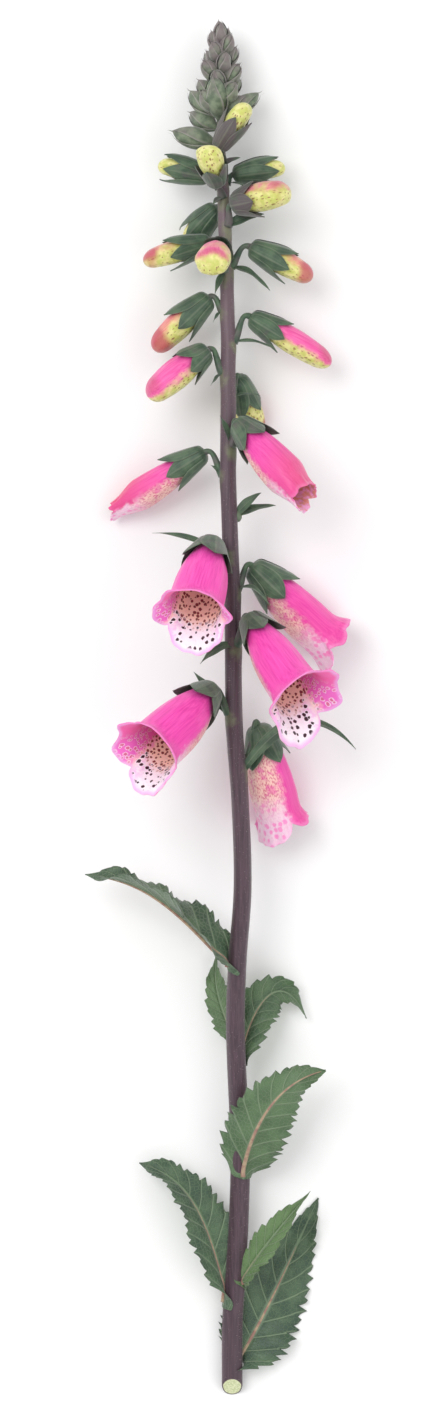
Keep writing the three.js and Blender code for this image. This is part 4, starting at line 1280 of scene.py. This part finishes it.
class FoxgloveColours(bpy.types.PropertyGroup):
    petal: colour("Petal", "Outside of an open flower", 248, 84, 186)
    # Petal shade: the magenta of the veins and blotches, and also the painted shade on a bell's sides.
    petal_magenta_and_shade: colour("Petal shade", "Veins of a petal", 224, 44, 158)
    # Petal pale: the paler foot of a bell and the inside of a young one, and also the painted highlight on
    # an open rim.
    petal_pale_and_highlight: colour("Petal pale", "Foot and rim of a flower", 252, 176, 224)
    belly: colour("Belly", "Underside of a flower, outside", 240, 204, 188)
    belly_shade: colour("Belly shade", "Mottles on the underside of a flower", 206, 112, 126)
    coral: colour("Coral", "Blush of a young flower", 234, 156, 142)
    coral_shade: colour("Coral shade", "Veins of a young flower", 216, 78, 104)
    inner: colour("Inside", "Inside of a flower, above", 242, 96, 172)
    # Inside deep: the painted shade deep inside a bell, and the colour of the spots on its sides.
    inner_shade_and_spots: colour("Inside deep", "Inside of a flower near its foot", 206, 34, 110)
    inner_side: colour("Inside sides", "Sides of a flower, inside", 236, 104, 196)
    throat: colour("Throat", "Floor of the bell", 255, 218, 198)
    throat_spot: colour("Throat specks", "Specks in the throat", 120, 20, 44)
    throat_ring: colour("Throat rings", "Rings round the specks", 252, 222, 180)
    lip: colour("Lip", "Lower lip, outside", 244, 216, 240)
    lip_white: colour("Lip white", "Lower lip, inside", 252, 242, 250)
    lip_edge: colour("Lip edge", "Rim of the lip, inside", 238, 170, 228)
    spot: colour("Spot", "Spots on the lower lip", 52, 6, 30)
    bud: colour("Bud", "A closed corolla", 198, 202, 104)
    bud_pale: colour("Bud pale", "Light patches of a bud", 226, 220, 146)
    bud_speck: colour("Bud specks", "Specks on a bud", 130, 76, 44)
    bud_tip: colour("Bud tip", "Tip of a bud", 184, 70, 88)
    sepal: colour("Sepal", "Calyx and small leaves", 48, 74, 54)
    sepal_light: colour("Sepal light", "Lighter parts of a sepal", 74, 100, 72)
    sepal_tint: colour("Sepal tint", "Purple tinge of a sepal", 92, 76, 84)
    sepal_edge: colour("Sepal edge", "Ribs and edge of a sepal", 134, 140, 120)
    stem: colour("Stem", "Skin of the stem", 80, 57, 69)
    stem_dark: colour("Stem dark", "Streaks of the stem", 58, 39, 49)
    stem_top: colour("Stem top", "The stem near the head", 120, 100, 108)
    stem_green: colour("Stem green", "The stem at a stalk", 120, 132, 90)
    pith: colour("Pith", "The cut face", 222, 226, 186)
    pith_shade: colour("Pith shade", "Darker parts of the cut face", 188, 196, 140)
    head: colour("Head", "Buds of the head", 86, 102, 80)
    head_light: colour("Head light", "Lighter parts of the head", 126, 138, 114)
    head_tint: colour("Head tint", "Tips of the head", 120, 104, 110)
    head_edge: colour("Head edge", "Edges of the sepals in the head", 176, 168, 166)
    leaf: colour("Leaf", "Upper face of a leaf", 48, 74, 56)
    leaf_light: colour("Leaf light", "Lighter parts of a leaf", 76, 102, 74)
    leaf_vein: colour("Leaf veins", "Veins on the upper face", 136, 156, 124)
    leaf_fresh: colour("Leaf fresh", "A young leaf", 120, 156, 84)
    leaf_under: colour("Leaf underside", "Underside of a leaf", 86, 114, 82)
    leaf_under_light: colour("Underside light", "Lighter parts of the underside", 116, 142, 104)
    leaf_under_vein: colour("Underside veins", "Veins of the underside", 164, 180, 142)
    rib: colour("Rib", "Main rib of a leaf", 172, 150, 122)
    rib_shade: colour("Rib shade", "Darker parts of the rib", 150, 112, 100)
    filament: colour("Filament", "Threads of the stamens", 250, 240, 236)
    anther: colour("Anther", "Tips of the stamens", 240, 205, 110)
    anther_speck: colour("Anther specks", "Specks on the anthers", 150, 80, 60)
    fuzz: colour("Fuzz", "Fine hairs", 206, 192, 190)
    floor: colour("Floor", "The surface under the spike", 246, 246, 246)


def in_mm(length):
    return length / MM


def add_floor(scene):
    bm = bmesh.new()
    bmesh.ops.create_grid(bm, x_segments=1, y_segments=1, size=FLOOR_HALF)
    mesh = bpy.data.meshes.new("floor")
    bm.to_mesh(mesh)
    bm.free()
    mesh.materials.append(bpy.data.materials["paper"])
    floor = bpy.data.objects.new("floor", mesh)
    scene.collection.objects.link(floor)


def add_lights(scene):
    scene.world = bpy.data.worlds.new("studio")
    scene.world.use_nodes = True
    sky = scene.world.node_tree.nodes["Background"]
    sky.inputs["Color"].default_value = (1, 1, 1, 1)
    sky.inputs["Strength"].default_value = SKY_LIGHT
    for name, place, power, size in LAMPS:
        lamp = bpy.data.lights.new(name, "AREA")
        lamp.energy = power
        lamp.size = size
        light = bpy.data.objects.new(name, lamp)
        light.location = place
        light.rotation_euler = (-Vector(place)).to_track_quat("-Z", "Y").to_euler()
        scene.collection.objects.link(light)


def add_camera(scene):
    lens = bpy.data.cameras.new("camera")
    lens.sensor_width = SENSOR
    lens.lens = SENSOR * CAMERA_HEIGHT / PICTURE_TALL
    lens.clip_end = 20
    camera = bpy.data.objects.new("camera", lens)
    camera.location = (0, 0, CAMERA_HEIGHT)
    scene.collection.objects.link(camera)
    scene.camera = camera
    scene.view_settings.view_transform = "Standard"


class FOXGLOVE_OT_finishes(bpy.types.Operator):
    """Makes the finishes, in the panel's colours"""

    bl_idname = "foxglove.finishes"
    bl_label = "Finishes"

    def execute(self, context):
        make_finishes(context.scene.foxglove_colours)
        return {"FINISHED"}


class FOXGLOVE_OT_stage(bpy.types.Operator):
    """Adds the pale floor, the soft light and the camera that looks down on the spike"""

    bl_idname = "foxglove.stage"
    bl_label = "Stage"

    def execute(self, context):
        for add in (add_floor, add_lights, add_camera):
            add(context.scene)
        return {"FINISHED"}


class FOXGLOVE_OT_stem(bpy.types.Operator):
    """Adds the stem with its slanted cut and its fine hairs"""

    bl_idname = "foxglove.stem"
    bl_label = "Stem"

    def execute(self, context):
        sizes = context.scene.foxglove_sizes
        bm = new_mesh()
        add_stem(bm)
        finished(bm, "spike_stem", ["stem_skin"], "stem", "stem")
        bm = new_mesh()
        count = sizes.stem_hairs // 1
        add_stem_hairs(bm, in_mm(sizes.stem_hair), count, random.Random(STEM_HAIR_SEED))
        finished(bm, "stem_fuzz", ["fuzz", "fuzz"], "stem")
        return {"FINISHED"}


class FOXGLOVE_OT_bells(bpy.types.Operator):
    """Adds the open corollas, with hairs on their lower lips"""

    bl_idname = "foxglove.bells"
    bl_label = "Bells"

    def execute(self, context):
        sizes = context.scene.foxglove_sizes
        wall = in_mm(sizes.petal_wall)
        finishes = ["petal_outside", "petal_inside", "fuzz"]
        for index, flower in enumerate(FLOWERS):
            if not is_bud(flower):
                bm = new_mesh()
                add_bell(bm, flower, wall)
                add_lip_hairs(bm, flower, wall, in_mm(sizes.lip_hair), random.Random(index))
                finished(bm, flower.name + "_bell", finishes, "petal", flower.name + "_corolla")
        return {"FINISHED"}


class FOXGLOVE_OT_buds(bpy.types.Operator):
    """Adds the closed corollas"""

    bl_idname = "foxglove.buds"
    bl_label = "Buds"

    def execute(self, context):
        for flower in filter(is_bud, FLOWERS):
            bm = new_mesh()
            add_bud(bm, flower)
            slot = "bud" if flower.long > YOUNG_LONG else "young_bud"
            finished(bm, flower.name + "_bud", ["bud_skin"], slot, flower.name + "_corolla")
        return {"FINISHED"}


class FOXGLOVE_OT_calyxes(bpy.types.Operator):
    """Adds every flower's calyx, with its stalk and small leaf"""

    bl_idname = "foxglove.calyxes"
    bl_label = "Calyxes"

    def execute(self, context):
        wall = in_mm(context.scene.foxglove_sizes.sepal_wall)
        for flower in FLOWERS:
            bm = new_mesh()
            add_sepals(bm, flower, wall)
            add_stalk(bm, flower)
            add_bract(bm, flower, wall)
            finished(bm, flower.name + "_green", ["sepal_skin"], "calyx", flower.name + "_calyx")
        bm = new_mesh()
        add_spare_leaves(bm, wall)
        finished(bm, "spare_small_leaves", ["sepal_skin"], "calyx", "spare_leaves")
        return {"FINISHED"}


class FOXGLOVE_OT_stamens(bpy.types.Operator):
    """Adds the ovary, style and stamens of the open flowers"""

    bl_idname = "foxglove.stamens"
    bl_label = "Stamens"

    def execute(self, context):
        for flower in FLOWERS:
            if flower.open > STAMENS_SHOW:
                bm = new_mesh()
                add_stamens(bm, flower)
                finishes = ["filament", "anther"]
                finished(bm, flower.name + "_inner", finishes, "stamens", flower.name + "_stamens")
        return {"FINISHED"}


class FOXGLOVE_OT_head(bpy.types.Operator):
    """Adds the head of young buds at the tip"""

    bl_idname = "foxglove.head"
    bl_label = "Bud head"

    def execute(self, context):
        bm = new_mesh()
        add_head(bm)
        finished(bm, "young_bud_head", ["head_skin"], "bud_head", "bud_head")
        return {"FINISHED"}


class FOXGLOVE_OT_leaves(bpy.types.Operator):
    """Adds the long toothed leaves of the lower stem"""

    bl_idname = "foxglove.leaves"
    bl_label = "Leaves"

    def execute(self, context):
        sizes = context.scene.foxglove_sizes
        finishes = ["leaf_upper", "leaf_under", "leaf_rib"]
        for number, leaf in enumerate(LEAVES, 1):
            bm = new_mesh()
            add_leaf(bm, leaf, in_mm(sizes.leaf_wall), sizes.leaf_teeth)
            finished(bm, f"toothed_leaf_{number}", finishes, "leaf", f"leaf_{number}")
        return {"FINISHED"}


class FOXGLOVE_PT_panel(bpy.types.Panel):
    """Lists the spike's pieces and sizes"""

    bl_idname = "FOXGLOVE_PT_panel"
    bl_label = "Foxglove spike"
    bl_space_type = "VIEW_3D"
    bl_region_type = "UI"
    bl_category = "Foxglove"

    def draw(self, context):
        for step in STEPS:
            self.layout.operator(step.bl_idname)
        for group in (context.scene.foxglove_sizes, context.scene.foxglove_colours):
            for name in group.__annotations__:
                self.layout.prop(group, name)


STEPS = (
    FOXGLOVE_OT_finishes,
    FOXGLOVE_OT_stage,
    FOXGLOVE_OT_stem,
    FOXGLOVE_OT_bells,
    FOXGLOVE_OT_buds,
    FOXGLOVE_OT_calyxes,
    FOXGLOVE_OT_stamens,
    FOXGLOVE_OT_head,
    FOXGLOVE_OT_leaves,
)
CLASSES = (FoxgloveSizes, FoxgloveColours, *STEPS, FOXGLOVE_PT_panel)


def register():
    for cls in CLASSES:
        bpy.utils.register_class(cls)
    bpy.types.Scene.foxglove_sizes = PointerProperty(type=FoxgloveSizes)
    bpy.types.Scene.foxglove_colours = PointerProperty(type=FoxgloveColours)


def unregister():
    del bpy.types.Scene.foxglove_colours
    del bpy.types.Scene.foxglove_sizes
    for cls in reversed(CLASSES):
        bpy.utils.unregister_class(cls)


def main():
    register()
    bpy.ops.foxglove.finishes()
    bpy.ops.foxglove.stage()
    bpy.ops.foxglove.stem()
    bpy.ops.foxglove.bells()
    bpy.ops.foxglove.buds()
    bpy.ops.foxglove.calyxes()
    bpy.ops.foxglove.stamens()
    bpy.ops.foxglove.head()
    bpy.ops.foxglove.leaves()
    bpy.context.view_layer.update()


if __name__ == "__main__":
    main()
